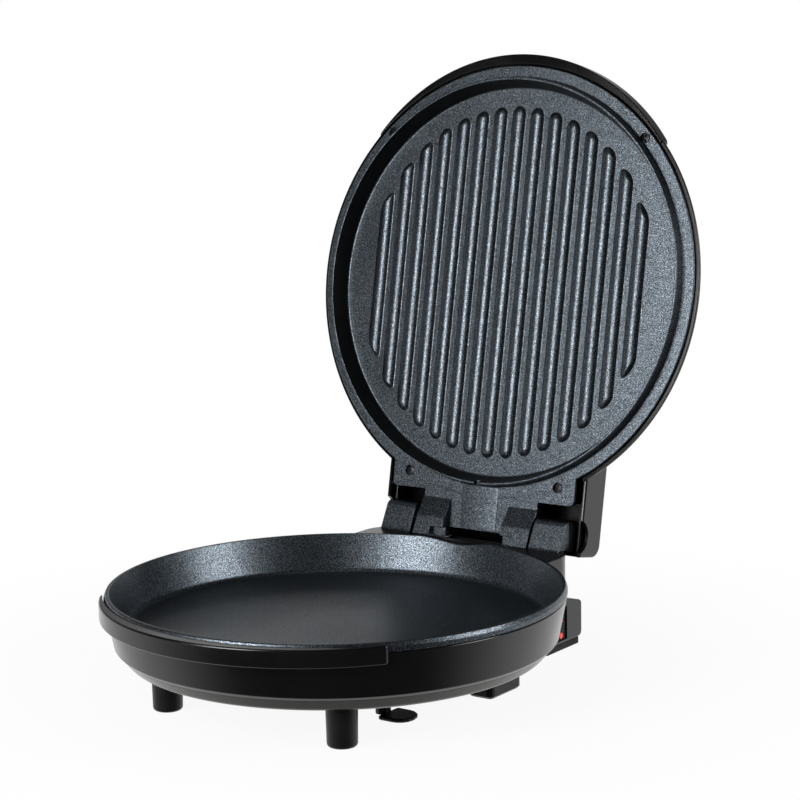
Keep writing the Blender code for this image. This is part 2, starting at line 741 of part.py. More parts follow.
def make_tail(carrier, material):
    half = TAIL_HALF_WIDTH
    tail = slab("terminal_housing", carrier, tail_outline(0, DECK_BACK + TAIL_EDGE, 0), -half, half,
                across="X", edge=TAIL_EDGE)
    inner = half - HOUSING_WALL
    cut(tail, slab("tail_hollow_tool", carrier, tail_outline(HOUSING_WALL, DECK_BACK, TAIL_FLOOR),
                   -inner, inner, across="X"))
    mouth = DECK_HALF_WIDTH - DECK_CORNER - HOUSING_WALL
    cut(tail, box("tail_mouth_tool", carrier, (-mouth, BAND_RADIUS, -TAIL_TOP - HOUSING_WALL * 2),
                  (mouth, DECK_BACK - HOUSING_WALL * 2, -TAIL_TOP + OVERRUN)))
    cut(tail, box("strip_window_tool", carrier, (inner - HOUSING_WALL, STRIP_FRONT, -STRIP_BOTTOM),
                  (half + OVERRUN, STRIP_BACK, -STRIP_TOP)))
    middle = inlet_middle()
    wide = INLET_WIDTH / 2 + GAP
    high = INLET_HEIGHT / 2 + GAP
    cut(tail, box("inlet_window_tool", carrier, (INLET_X - wide, TAIL_BACK - HOUSING_WALL * 2, middle - high),
                  (INLET_X + wide, TAIL_BACK + OVERRUN, middle + high)))
    return finish_part(tail, "terminal_housing", material)


def make_tail_foot(carrier, material):
    inset = TAIL_FOOT_INSET
    half = TAIL_HALF_WIDTH - inset
    foot = box("rear_stand", carrier, (-half, TAIL_FRONT + inset, -RIM_HEIGHT),
               (half, TAIL_BACK - inset, -TAIL_BOTTOM - GAP), edge=TAIL_EDGE)
    return finish_part(foot, "rear_stand", material)


def inlet_middle():
    return -(TAIL_TOP + TAIL_FALL + TAIL_BOTTOM) / 2


def make_strip(carrier, material):
    face = TAIL_HALF_WIDTH - STRIP_SINK
    inner = TAIL_HALF_WIDTH - HOUSING_WALL - GAP
    strip = box("indicator_strip", carrier, (inner - STRIP_LIP, STRIP_FRONT - STRIP_LIP, -STRIP_BOTTOM),
                (inner, STRIP_BACK + STRIP_LIP, -STRIP_TOP + STRIP_LIP))
    join(strip, box("strip_face_tool", carrier, (inner - STRIP_LIP / 2, STRIP_FRONT + GAP, -STRIP_BOTTOM + GAP),
                    (face, STRIP_BACK - GAP, -STRIP_TOP - GAP)))
    for index in range(2):
        level = -LAMP_FIRST - LAMP_PITCH * index
        cut(strip, cylinder("lamp_hole_tool", carrier, LAMP_RADIUS + GAP, (inner - STRIP_LIP * 2, LAMP_BACK, level),
                            (face + OVERRUN, LAMP_BACK, level), 12))
    return finish_part(strip, "indicator_strip", material)


def make_lamp(carrier, name, index, material):
    """A lens that shows its domed end in the strip."""
    level = -LAMP_FIRST - LAMP_PITCH * index
    profile = rounded([
        (0, LAMP_DOME),
        (LAMP_RADIUS, LAMP_DOME, LAMP_DOME),
        (LAMP_RADIUS, -LAMP_LENGTH),
        (0, -LAMP_LENGTH),
    ])
    lamp = turned(name, carrier, profile, steps=12,
                  location=(TAIL_HALF_WIDTH - STRIP_SINK, LAMP_BACK, level))
    lamp.rotation_euler = (0, math.radians(90), 0)
    return finish_part(lamp, name, material)


def inlet_outline(half_width, half_height, chamfer):
    return [
        (-half_width, -half_height),
        (half_width, -half_height),
        (half_width, half_height - chamfer),
        (half_width - chamfer, half_height),
        (-half_width + chamfer, half_height),
        (-half_width, half_height - chamfer),
    ]


def make_inlet_frame(carrier):
    """An empty in the middle of the inlet's mouth, whose +Z looks out of it."""
    frame = bpy.data.objects.new("inlet_frame", None)
    TOOLS.objects.link(frame)
    place(frame, carrier, (INLET_X, TAIL_BACK, inlet_middle()))
    frame.rotation_euler = (math.radians(-90), 0, 0)
    return frame


def make_inlet(frame, material):
    half_width = INLET_WIDTH / 2
    half_height = INLET_HEIGHT / 2
    inlet = box("power_inlet", frame,
                (-half_width - INLET_FLANGE_LIP, -half_height - INLET_FLANGE_LIP, GAP),
                (half_width + INLET_FLANGE_LIP, half_height + INLET_FLANGE_LIP, GAP + INLET_FLANGE))
    join(inlet, box("inlet_body_tool", frame, (-half_width, -half_height, -INLET_DEPTH),
                    (half_width, half_height, GAP + INLET_FLANGE / 2)))
    outline = inlet_outline(half_width - INLET_WALL, half_height - INLET_WALL, INLET_CHAMFER)
    recess = slab("inlet_recess_tool", frame, [(x, -y) for x, y in outline],
                  -INLET_DEPTH + INLET_WALL, INLET_FLANGE + OVERRUN)
    cut(inlet, recess)
    for x, y in blade_places():
        cut(inlet, box("blade_slot_tool", frame,
                       (x - BLADE_WIDTH / 2 - GAP, y - BLADE_HEIGHT / 2 - GAP, -INLET_DEPTH - OVERRUN),
                       (x + BLADE_WIDTH / 2 + GAP, y + BLADE_HEIGHT / 2 + GAP, -INLET_DEPTH + INLET_WALL * 2)))
    return finish_part(inlet, "power_inlet", material)


def blade_places():
    return [(-BLADE_PITCH, BLADE_RAISE / 2), (0, -BLADE_RAISE / 2), (BLADE_PITCH, BLADE_RAISE / 2)]


def make_blades(frame, material):
    names = ("inlet_blade_line", "inlet_blade_earth", "inlet_blade_neutral")
    for name, (x, y) in zip(names, blade_places()):
        blade = box(name, frame,
                    (x - BLADE_WIDTH / 2, y - BLADE_HEIGHT / 2, -INLET_DEPTH - BLADE_TAIL),
                    (x + BLADE_WIDTH / 2, y + BLADE_HEIGHT / 2, -INLET_DEPTH + BLADE_LENGTH),
                    edge=BLADE_WIDTH / 5, segments=1)
        finish_part(blade, name, material)


def make_cover(carrier, material):
    top = HOUSING_HEIGHT + GAP
    rim = HOUSING_BOTTOM_RADIUS - GAP
    sheet = COVER_SHEET
    profile = rounded([
        (0, -COVER_DEPTH + sheet),
        (COVER_CORNER_RADIUS - COVER_TURN / 2, -COVER_DEPTH + sheet),
        (COVER_CORNER_RADIUS + sheet, -COVER_DEPTH + COVER_TURN / 2),
        (rim - sheet, -top),
        (rim, -top),
        (COVER_CORNER_RADIUS, -COVER_DEPTH, COVER_TURN),
        (0, -COVER_DEPTH),
    ])
    return finish_part(turned("bottom_cover", carrier, profile), "bottom_cover", material)


def housing_inside(depth):
    """The housing wall's inside radius at a depth below the rim plane."""
    top = pan_inside(RIM_DROP) + PAN_WALL + SEAT_CLEARANCE
    bottom = HOUSING_BOTTOM_RADIUS + HOUSING_TURN - HOUSING_WALL
    start = BAND_BOTTOM + BAND_STEP
    end = HOUSING_HEIGHT - HOUSING_TURN
    return top + (bottom - top) * (depth - start) / (end - start)


def make_shield(carrier, material):
    sheet = SHIELD_SHEET
    rim = housing_inside(SHIELD_RIM) - GAP - sheet
    profile = rounded([
        (0, -SHIELD_DEPTH + sheet),
        (SHIELD_FLAT_RADIUS, -SHIELD_DEPTH + sheet),
        (rim - sheet, -SHIELD_RIM),
        (rim, -SHIELD_RIM),
        (SHIELD_FLAT_RADIUS + sheet, -SHIELD_DEPTH),
        (0, -SHIELD_DEPTH),
    ])
    shield = turned("base_heat_shield", carrier, profile, HIDDEN_STEPS)
    return finish_part(shield, "base_heat_shield", material)


def make_front_foot(side, word, carrier, material):
    top = -COVER_DEPTH - GAP
    profile = rounded([
        (0, top),
        (FOOT_TOP_RADIUS, top),
        (FOOT_RADIUS, -RIM_HEIGHT, FOOT_TURN),
        (0, -RIM_HEIGHT),
    ])
    x, y = on_circle(COVER_CORNER_RADIUS - FOOT_INSET, FOOT_ANGLE)
    foot = turned(f"front_foot_{word}", carrier, profile, 20, location=(side * x, y, 0))
    return finish_part(foot, f"front_foot_{word}", material)


def make_rear_foot(side, word, carrier, material):
    x, y = on_circle(COVER_CORNER_RADIUS - BLOCK_INSET, BLOCK_ANGLE)
    half_width = BLOCK_WIDTH / 2
    half_length = BLOCK_LENGTH / 2
    outline = rounded([
        (side * x - half_width, y - half_length, BLOCK_CORNER),
        (side * x + half_width, y - half_length, BLOCK_CORNER),
        (side * x + half_width, y + half_length, BLOCK_CORNER),
        (side * x - half_width, y + half_length, BLOCK_CORNER),
    ], steps=3, closed=True)
    foot = slab(f"rear_foot_{word}", carrier, outline, -RIM_HEIGHT, -COVER_DEPTH - GAP,
                edge=BLOCK_EDGE, segments=1)
    return finish_part(foot, f"rear_foot_{word}", material)


def make_hook(side, word, carrier, material):
    """A post below the cover whose plate holds the wound cord up, with its round side outwards."""
    top = -COVER_DEPTH - GAP
    low = top - HOOK_DROP
    x, y = on_circle(COVER_CORNER_RADIUS - HOOK_INSET, HOOK_ANGLE)
    hook = cylinder(f"cord_hook_{word}", carrier, HOOK_POST, (side * x, y, low - HOOK_PLATE / 2),
                    (side * x, y, top), 12)
    half = HOOK_PLATE_LENGTH / 2
    outline = [(side * u, v) for u, v in rounded([
        (x + HOOK_SETBACK, y - half, HOOK_CORNER),
        (x + HOOK_REACH, y - half, HOOK_NOSE),
        (x + HOOK_REACH, y + half, HOOK_NOSE),
        (x + HOOK_SETBACK, y + half, HOOK_CORNER),
    ], steps=4, closed=True)]
    join(hook, slab("hook_plate_tool", carrier, outline, low - HOOK_PLATE, low, edge=HOOK_EDGE, segments=1))
    return finish_part(hook, f"cord_hook_{word}", material)


def element_route(level, turn_down):
    """An open ring with two tails that bend away from the plate near the hinge side."""
    route = []
    start = math.radians(90 + ELEMENT_OPENING / 2)
    sweep = math.radians(360 - ELEMENT_OPENING)
    count = 24
    for index in range(count + 1):
        turn = start + sweep * index / count
        route.append((ELEMENT_CIRCLE * math.cos(turn), ELEMENT_CIRCLE * math.sin(turn), level))
    first = route[0]
    last = route[-1]
    out = ELEMENT_TAIL
    bend = level + turn_down / 3
    head = [(first[0], first[1] + out, level + turn_down), (first[0], first[1] + ELEMENT_BEND, bend)]
    tail = [(last[0], last[1] + ELEMENT_BEND, bend), (last[0], last[1] + out, level + turn_down)]
    return head + route + tail


def make_sensor(name, carrier, under, material):
    """A disc thermostat on a mounting plate that lies against the cast plate."""
    profile = [
        (0, under),
        (SENSOR_PLATE, under),
        (SENSOR_PLATE, under - SENSOR_PLATE_SHEET),
        (SENSOR_RADIUS, under - SENSOR_PLATE_SHEET),
        (SENSOR_RADIUS, under - SENSOR_HEIGHT),
        (0, under - SENSOR_HEIGHT),
    ]
    return finish_part(turned(name, carrier, profile, 16), name, material)


def make_base_heating(carrier, steel, ceramic):
    under = -PAN_UNDERSIDE - GAP
    element = tube("lower_heating_element", carrier,
                   element_route(under - ELEMENT_RADIUS, -ELEMENT_RADIUS / 2), ELEMENT_RADIUS)
    finish_part(element, "lower_heating_element", steel)
    make_sensor("lower_thermostat", carrier, under, steel)
    level = under - FUSE_RADIUS
    fuse = cylinder("lower_thermal_fuse", carrier, FUSE_RADIUS, (-FUSE_LENGTH / 2, FUSE_PLACE, level),
                    (FUSE_LENGTH / 2, FUSE_PLACE, level), BAR_STEPS)
    finish_part(fuse, "lower_thermal_fuse", ceramic)
    floor = -TAIL_BOTTOM + TAIL_FLOOR + GAP
    middle = (TAIL_FRONT + TAIL_BACK) / 2
    half_width = TERMINAL_WIDTH / 2
    half_depth = TERMINAL_DEPTH / 2
    block = box("terminal_block", carrier, (TERMINAL_X - half_width, middle - half_depth, floor),
                (TERMINAL_X + half_width, middle + half_depth, floor + TERMINAL_HEIGHT),
                edge=TERMINAL_EDGE, segments=1)
    finish_part(block, "terminal_block", ceramic)


def make_ribs(carrier):
    """Half-round ribs whose ends slant along one circle, as one tool that joins the plate."""
    shape = bmesh.new()
    radius = RIB_WIDTH / 2
    middle = (RIB_COUNT - 1) / 2
    for index in range(RIB_COUNT):
        u = (index - middle) * RIB_PITCH
        made = bmesh.ops.create_uvsphere(shape, u_segments=12, v_segments=5, radius=radius)
        for vert in made["verts"]:
            x, y, z = vert.co
            reach = math.sqrt(RIB_CIRCLE ** 2 - (x + u) ** 2) - radius
            rise = RIB_HEIGHT if y < 0 else RIB_SINK
            vert.co = (x + u, z + math.copysign(reach, z), -y * rise / radius - RIB_SINK / 2)
    return from_bmesh(shape, "ribs_tool", carrier)


def plate_profile():
    back = FLANGE_LEVEL - FLANGE_SHEET
    return rounded([
        (0, 0),
        (PLATE_FLOOR_RADIUS, 0, PLATE_FILLET),
        (LIP_RADIUS, LIP_HEIGHT, LIP_WIDTH / 3),
        (LIP_RADIUS + LIP_WIDTH, LIP_HEIGHT, LIP_WIDTH / 3),
        (LIP_RADIUS + LIP_WIDTH + LIP_FOOT, FLANGE_LEVEL),
        (FLANGE_RADIUS, FLANGE_LEVEL, LIP_FOOT),
        (FLANGE_RADIUS, back),
        (LIP_RADIUS + LIP_WIDTH, back),
        (PLATE_FLOOR_RADIUS + PLATE_WALL, -PLATE_WALL, PLATE_WALL),
        (0, -PLATE_WALL),
    ])


def tab_outline(half, start, end, corner):
    """A tab that runs back from the plate, with its two rear corners rounded."""
    return rounded([
        (-half, -start),
        (-half, -end, corner),
        (half, -end, corner),
        (half, -start),
    ], closed=True)


def lug_outline():
    """Side view of a lug round the pin, as v and h in the lid frame."""
    axis = -HINGE_BACK
    back = FLANGE_LEVEL - FLANGE_SHEET
    knuckle = arc((axis, 0), KNUCKLE_RADIUS, *LUG_KNUCKLE_ARC, 8)
    front = rounded([
        (axis + LUG_RUN + back, back),
        (axis + LUG_RUN, FLANGE_LEVEL, LIP_FOOT),
        (axis + LUG_BEND_RUN, LUG_BEND_RISE, LIP_HEIGHT),
        (axis - LUG_OVERHANG, LUG_RISE, LIP_FOOT),
        (axis - LUG_OVERHANG, LUG_BEND_RISE / 2),
        knuckle[0],
    ])
    return front[:-1] + knuckle


def screw_places():
    """Each screw's place in the lid frame: two in the flange and two beside the hinge."""
    front_u, front_v = on_circle(FLANGE_RADIUS - SCREW_FRONT_INSET, SCREW_FRONT_ANGLE)
    back_u = TAB_HALF - SCREW_BACK_INSET
    back_v = SCREW_BACK_LAP - TAB_END
    return {
        "front_right": (front_u, front_v),
        "front_left": (-front_u, front_v),
        "back_right": (back_u, back_v),
        "back_left": (-back_u, back_v),
    }


def make_lug(side, carrier):
    """One of the two lugs that carry the plate on its hinge pins, with its inner corner notched."""
    first, second = sorted((side * LUG_INNER, side * LUG_OUTER))
    lug = slab("lug_tool", carrier, lug_outline(), first, second, across="X")
    near, far = sorted((side * (LUG_INNER - LIP_FOOT), side * (LUG_INNER + LUG_NOTCH_WIDTH)))
    cut(lug, box("lug_notch_tool", carrier, (near, -HINGE_BACK - LUG_REACH * 2, KNUCKLE_RADIUS - LIP_FOOT),
                 (far, -HINGE_BACK - LUG_NOTCH_RUN, LUG_RISE + LUG_REACH)))
    return lug


def make_plate(carrier, material):
    plate = flatten(turned("upper_plate", carrier, plate_profile()))
    low = FLANGE_LEVEL - FLANGE_SHEET
    outline = tab_outline(TAB_HALF, TAB_START, TAB_END, TAB_CORNER)
    tab = slab("plate_tab_tool", carrier, outline, low + TAB_STEP, FLANGE_LEVEL - TAB_STEP)
    cut(tab, cylinder("plate_recess_tool", carrier, LIP_RADIUS + LIP_WIDTH / 2, (0, 0, -OVERRUN),
                      (0, 0, OVERRUN), ROUND_STEPS))
    join(plate, tab)
    outline = tab_outline(TONGUE_HALF, TONGUE_START, TONGUE_END, LIP_FOOT)
    join(plate, slab("tongue_tool", carrier, outline, low + 2 * TAB_STEP, FLANGE_LEVEL - 2 * TAB_STEP))
    join(plate, box("tongue_band_tool", carrier, (-BAND_HALF, -TONGUE_END + LIP_FOOT, low + LIP_FOOT),
                    (BAND_HALF, -BAND_START, FLANGE_LEVEL + BAND_RAISE)))
    for side in (1, -1):
        join(plate, make_lug(side, carrier))
    join(plate, make_ribs(carrier))
    for side in (1, -1):
        start = (side * (LUG_INNER + PIN_END - GAP), -HINGE_BACK, 0)
        end = (side * (LUG_OUTER + PIN_END), -HINGE_BACK, 0)
        cut(plate, cylinder("lug_bore_tool", carrier, PIN_RADIUS + GAP, start, end, BAR_STEPS))
    notch = LIP_NOTCH / 2
    cut(plate, box("lip_notch_tool", carrier, (-notch, -LIP_RADIUS - LIP_WIDTH * 2, LIP_HEIGHT - LIP_NOTCH),
                   (notch, -LIP_RADIUS + LIP_WIDTH, LIP_HEIGHT + LIP_NOTCH)))
    seat = FLANGE_LEVEL - SCREW_SINK - SCREW_HEAD - GAP
    for u, v in screw_places().values():
        cut(plate, cylinder("counterbore_tool", carrier, SCREW_HEAD_RADIUS + 2 * GAP, (u, v, seat),
                            (u, v, OVERRUN), 12))
        cut(plate, cylinder("screw_hole_tool", carrier, SCREW_SHANK_RADIUS + GAP, (u, v, -OVERRUN),
                            (u, v, OVERRUN), 10))
    return finish_part(plate, "upper_plate", material)


def make_screw(name, carrier, u, v, material):
    top = FLANGE_LEVEL - SCREW_SINK
    under = top - SCREW_HEAD
    profile = rounded([
        (0, top),
        (SCREW_HEAD_RADIUS, top, SCREW_HEAD / 3),
        (SCREW_HEAD_RADIUS, under),
        (SCREW_SHANK_RADIUS, under),
        (SCREW_SHANK_RADIUS, under - SCREW_LENGTH),
        (0, under - SCREW_LENGTH),
    ], steps=1)
    return finish_part(turned(name, carrier, profile, 10, location=(u, v, 0)), name, material)


def shell_profile(inset):
    """Half section of the lid shell's outer form, or of its inside when inset is the wall."""
    top = SHELL_LEVEL + (OVERRUN if inset else 0)
    edge = SHELL_RADIUS - (SHELL_EDGE if inset else 0)
    return rounded([
        (0, top),
        (edge, top),
        (edge, SHELL_LEVEL - SHELL_EDGE),
        (SHELL_RADIUS - SHELL_SHOULDER_INSET - inset, -SHELL_SHOULDER_DEPTH + inset / 2),
        (SHELL_RADIUS - SHELL_BROW_INSET - inset, -SHELL_BROW_DEPTH + inset),
        (SHELL_RADIUS - SHELL_CROWN_INSET, -SHELL_CROWN_DEPTH + inset),
        (0, -SHELL_DEPTH + inset),
    ])


def hood_outline(inset):
    """Side view of the hood over the hinge, as v and h in the lid frame."""
    level = HOOD_LEVEL + (OVERRUN if inset else 0)
    return rounded([
        (-HOOD_START, level),
        (-HOOD_START, -HOOD_DEPTH + inset),
        (-HOOD_END + inset, -HOOD_DEPTH + inset, HOOD_CORNER - inset),
        (-HOOD_END + inset, level),
    ], steps=5, closed=True)


def make_shell(carrier, material):
    shell = flatten(turned("lid_shell", carrier, shell_profile(0)))
    half = HOOD_HALF_WIDTH
    hood = slab("hood_tool", carrier, hood_outline(0), -half, half, across="X")
    join(shell, hood)
    cut(shell, turned("shell_hollow_tool", carrier, shell_profile(SHELL_WALL)))
    inner = half - SHELL_WALL
    cut(shell, slab("hood_hollow_tool", carrier, hood_outline(SHELL_WALL), -inner, inner, across="X"))
    cut(shell, box("hood_mouth_tool", carrier, (-inner, -HOOD_END - OVERRUN, -HOOD_BACK_WALL_TOP),
                   (inner, -HOOD_END + SHELL_WALL * 2, OVERRUN)))
    cut(shell, cylinder("scallop_tool", carrier, HOOD_SCALLOP,
                        (-half - OVERRUN, -HINGE_BACK, HOOD_SCALLOP_LEVEL),
                        (half + OVERRUN, -HINGE_BACK, HOOD_SCALLOP_LEVEL), HIDDEN_STEPS))
    low = -HOOD_DEPTH + SHELL_WALL / 2
    for side in (1, -1):
        first, second = sorted((side * EAR_INNER, side * (inner + SHELL_WALL / 2)))
        join(shell, box("cross_rib_tool", carrier, (first, -HOOD_RIB_V - HOOD_RIB, low),
                        (second, -HOOD_RIB_V, HOOD_LEVEL)))
        first, second = sorted((side * HOOD_RIB_U, side * (HOOD_RIB_U + HOOD_RIB)))
        join(shell, box("side_rib_tool", carrier, (first, -HOOD_END + SHELL_WALL / 2, low),
                        (second, -HOOD_RIB_V - HOOD_RIB / 2, -HOOD_BACK_WALL_TOP)))
    for u, v in screw_places().values():
        deep = -HOOD_DEPTH + SHELL_WALL / 2 if v < 0 else -SHELL_SHOULDER_DEPTH + SHELL_WALL / 2
        join(shell, cylinder("screw_boss_tool", carrier, SCREW_BOSS_RADIUS, (u, v, deep),
                             (u, v, FLANGE_LEVEL - FLANGE_SHEET - GAP), 12))
        cut(shell, cylinder("boss_hole_tool", carrier, SCREW_SHANK_RADIUS + GAP,
                            (u, v, FLANGE_LEVEL - SCREW_SINK - SCREW_HEAD - SCREW_LENGTH - GAP),
                            (u, v, OVERRUN), 10))
    join(shell, make_lid_grip(carrier))
    return finish_part(shell, "lid_shell", material)


def make_lid_grip(carrier):
    outline = grip_outline(FLANGE_RADIUS + LID_GRIP_CLEARANCE, SHELL_RADIUS - GAP, GRIP_BULGE)
    return slab("lid_grip_tool", carrier, [(x, -y) for x, y in outline], -LID_GRIP_DEPTH, LID_GRIP_LEVEL,
                edge=LID_GRIP_BEVEL)


def make_lid_shield(carrier, material):
    sheet = SHIELD_SHEET
    flat = PLATE_FLOOR_RADIUS - LID_SHIELD_INSET
    top = -PLATE_WALL - GAP
    profile = [
        (0, -LID_SHIELD_DEPTH + sheet),
        (flat, -LID_SHIELD_DEPTH + sheet),
        (PLATE_FLOOR_RADIUS - sheet, top),
        (PLATE_FLOOR_RADIUS, top),
        (flat + sheet, -LID_SHIELD_DEPTH),
        (0, -LID_SHIELD_DEPTH),
    ]
    shield = turned("lid_heat_shield", carrier, profile, HIDDEN_STEPS)
    return finish_part(shield, "lid_heat_shield", material)


def make_lid_heating(carrier, steel, ceramic):
    under = -PLATE_WALL - GAP
    element = tube("upper_heating_element", carrier,
                   [(x, -y, z) for x, y, z in element_route(under - ELEMENT_RADIUS, -ELEMENT_RADIUS / 2)],
                   ELEMENT_RADIUS)
    finish_part(element, "upper_heating_element", steel)
    make_sensor("upper_thermostat", carrier, under, steel)
    level = under - FUSE_RADIUS
    fuse = cylinder("upper_thermal_fuse", carrier, FUSE_RADIUS, (-FUSE_LENGTH / 2, -FUSE_PLACE, level),
                    (FUSE_LENGTH / 2, -FUSE_PLACE, level), BAR_STEPS)
    finish_part(fuse, "upper_thermal_fuse", ceramic)


def make_frames():
    """The base frame, the hinge axis and the lid frame, each an empty on the one before."""
    root = bpy.data.objects.new("pan_origin", None)
    base = bpy.data.objects.new("base_frame", None)
    hinge = bpy.data.objects.new("hinge_axis", None)
    lid = bpy.data.objects.new("lid_frame", None)
    for frame in (root, base, hinge, lid):
        TOOLS.objects.link(frame)
    place(base, root, (0, 0, RIM_HEIGHT))
    place(hinge, base, (0, HINGE_BACK, HINGE_RISE))
    hinge.rotation_euler = (math.radians(180 - OPEN_ANGLE), 0, 0)
    place(lid, hinge, (0, HINGE_BACK, 0))
    return root, base, lid


def make_materials():
    return {
        "cast": new_material("speckled_coating", (0.055, 0.062, 0.072), 0.45, 0.15),
        "black": new_material("black_plastic", (0.012, 0.012, 0.013), 0.22),
        "matt": new_material("matt_black_plastic", (0.02, 0.02, 0.022), 0.5),
        "cover": new_material("bronze_cover", (0.11, 0.105, 0.09), 0.3, 0.6),
        "steel": new_material("steel", (0.55, 0.55, 0.56), 0.35, 0.9),
        "sheet": new_material("aluminium_sheet", (0.7, 0.7, 0.71), 0.4, 0.9),
        "ceramic": new_material("ceramic", (0.75, 0.73, 0.68), 0.6),
        "lens": new_material("red_lens", (0.8, 0.03, 0.02), 0.15),
        "rubber": new_material("rubber", (0.015, 0.015, 0.015), 0.7),
    }


def centre_on_footprint(root):
    """Put the origin under the middle of the open pan's bounding box."""
    bpy.context.view_layer.update()
    graph = bpy.context.evaluated_depsgraph_get()
    low = math.inf
    high = -math.inf
    for item in PARTS.objects:
        seen = item.evaluated_get(graph)
        for vert in seen.data.vertices:
            y = (seen.matrix_world @ vert.co).y
            low = min(low, y)
            high = max(high, y)
    root.location = (0, -(low + high) / 2, 0)
    bpy.context.view_layer.update()


def build():
    finish = make_materials()
    root, base, lid = make_frames()
    make_pan(base, finish["cast"])
    make_housing(base, finish["black"])
    both_sides(make_ear, base, finish["cast"])
    both_sides(make_pin, base, finish["steel"])
    make_tail(base, finish["black"])
    make_tail_foot(base, finish["rubber"])
    make_strip(base, finish["matt"])
    make_lamp(base, "power_lamp", 0, finish["lens"])
    make_lamp(base, "heating_lamp", 1, finish["lens"])
    inlet_frame = make_inlet_frame(base)
    make_inlet(inlet_frame, finish["matt"])
    make_blades(inlet_frame, finish["steel"])
    make_cover(base, finish["cover"])
    make_shield(base, finish["sheet"])
    both_sides(make_front_foot, base, finish["matt"])
    both_sides(make_rear_foot, base, finish["matt"])
    both_sides(make_hook, base, finish["matt"])
    make_base_heating(base, finish["steel"], finish["ceramic"])
    make_plate(lid, finish["cast"])
    for word, (u, v) in screw_places().items():
        make_screw(f"plate_screw_{word}", lid, u, v, finish["steel"])
    make_shell(lid, finish["black"])
    make_lid_shield(lid, finish["sheet"])
    make_lid_heating(lid, finish["steel"], finish["ceramic"])
    centre_on_footprint(root)


clear_scene()
PARTS = new_collection("electric_baking_pan")
TOOLS = new_collection("electric_baking_pan_tools")
build()
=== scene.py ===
"""Looks of an electric baking pan with its ribbed lid open, on a plain pale floor."""
import json
import math

import bmesh
import bpy
from mathutils import Matrix, Vector


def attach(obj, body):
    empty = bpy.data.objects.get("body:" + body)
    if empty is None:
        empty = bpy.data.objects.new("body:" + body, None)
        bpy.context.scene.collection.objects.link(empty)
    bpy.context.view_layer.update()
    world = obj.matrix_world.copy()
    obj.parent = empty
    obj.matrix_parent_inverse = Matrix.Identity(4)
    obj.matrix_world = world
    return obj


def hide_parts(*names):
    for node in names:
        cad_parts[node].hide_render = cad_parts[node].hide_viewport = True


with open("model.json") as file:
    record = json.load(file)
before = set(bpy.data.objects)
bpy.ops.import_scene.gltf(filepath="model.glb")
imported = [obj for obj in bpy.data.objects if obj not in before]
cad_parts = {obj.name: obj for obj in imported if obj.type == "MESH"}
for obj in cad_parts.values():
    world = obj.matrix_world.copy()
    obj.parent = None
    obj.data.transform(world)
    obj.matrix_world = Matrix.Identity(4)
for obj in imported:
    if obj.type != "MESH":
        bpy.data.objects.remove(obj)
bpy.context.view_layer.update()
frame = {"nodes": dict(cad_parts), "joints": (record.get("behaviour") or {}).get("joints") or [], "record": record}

MM = 0.001

# Shared places
HINGE = Vector(frame["joints"][0]["pos_m"])
HINGE_BACK = 175.7 * MM
HINGE_RISE = 7.0 * MM
OPEN_ANGLE = 101.0
BASE = Matrix.Translation(HINGE - Vector((0, HINGE_BACK, HINGE_RISE)))
LID = (Matrix.Translation(HINGE) @ Matrix.Rotation(math.radians(180 - OPEN_ANGLE), 4, "X")
       @ Matrix.Translation((0, HINGE_BACK, 0)))
ROUND = 288
SMALL_ROUND = 48
THIN = 0.3 * MM
WELD = MM / 1000
FAR = 40 * MM

# Photograph
LENS = 105.34
SENSOR = 36.0
CAMERA_AZIMUTH = 35.695
CAMERA_ELEVATION = 9.465
CAMERA_ROLL = -0.9454
CAMERA_DISTANCE = 1534.8 * MM
CAMERA_TARGET = Vector((36.16, 25.98, 122.81)) * MM
CAMERA_CLIP = 50

# Lower pan
PAN_RADIUS = 150 * MM
PAN_FLOOR_RADIUS = 141.6 * MM
PAN_DEPTH = 26.4 * MM
PAN_WALL = 3.0 * MM
PAN_FILLET = 5.0 * MM
RIM_WIDTH = 3.6 * MM
RIM_DROP = 6.0 * MM
RIM_ROUND = 1.3 * MM
RIM_OUTER_ROUND = 2.2 * MM
PAN_CLEARANCE = 0.6 * MM
DIP_MIDDLE = -4 * MM
DIP_HALF_WIDTH = 31 * MM
DIP_DEPTH = 3.6 * MM

# Base housing
WALL_TOP = 6.5 * MM
WALL_TOP_RADIUS = 153.4 * MM
WALL_TOP_ROUND = 0.8 * MM
WALL_LEDGE = 14.8 * MM
HOUSING_WALL = 2.5 * MM
HOUSING_BOTTOM_RADIUS = 145.6 * MM
HOUSING_HEIGHT = 37 * MM
HOUSING_TURN = 2.2 * MM
BASE_GRIP_TOP = 1.2 * MM
BASE_GRIP_BOTTOM = 13.2 * MM
BASE_GRIP_END_RADIUS = 155.6 * MM
BASE_GRIP_BULGE = 7.1 * MM

# Both grips
GRIP_ANGLE = 49.5
GRIP_BEVEL = 1.3 * MM
GRIP_STEPS = 96

# Hinge deck
DECK_HALF_WIDTH = 84.2 * MM
DECK_FRONT = 118 * MM
DECK_BACK = 170 * MM
DECK_CORNER = 23.5 * MM
DECK_DROP = 1.0 * MM
DECK_BOTTOM = 36.7 * MM
DECK_BEVEL = 1.6 * MM

# Hinge
EAR_INNER = 51.2 * MM
EAR_OUTER = 76.8 * MM
EAR_FOOT = 156.6 * MM
EAR_FLARE = 1.2 * MM
EAR_BROW = 166.0 * MM
EAR_CROWN = 18.2 * MM
EAR_ROUND = 5.5 * MM
EAR_SPLIT = 170.3 * MM
EAR_BEVEL = 0.9 * MM
KNUCKLE_RADIUS = 11.0 * MM
EAR_SWEEP = (90, -118)
LUG_SWEEP = (190, 320)
LUG_INNER = 24.6 * MM
LUG_OUTER = 49.0 * MM
LUG_REACH = 21.8 * MM

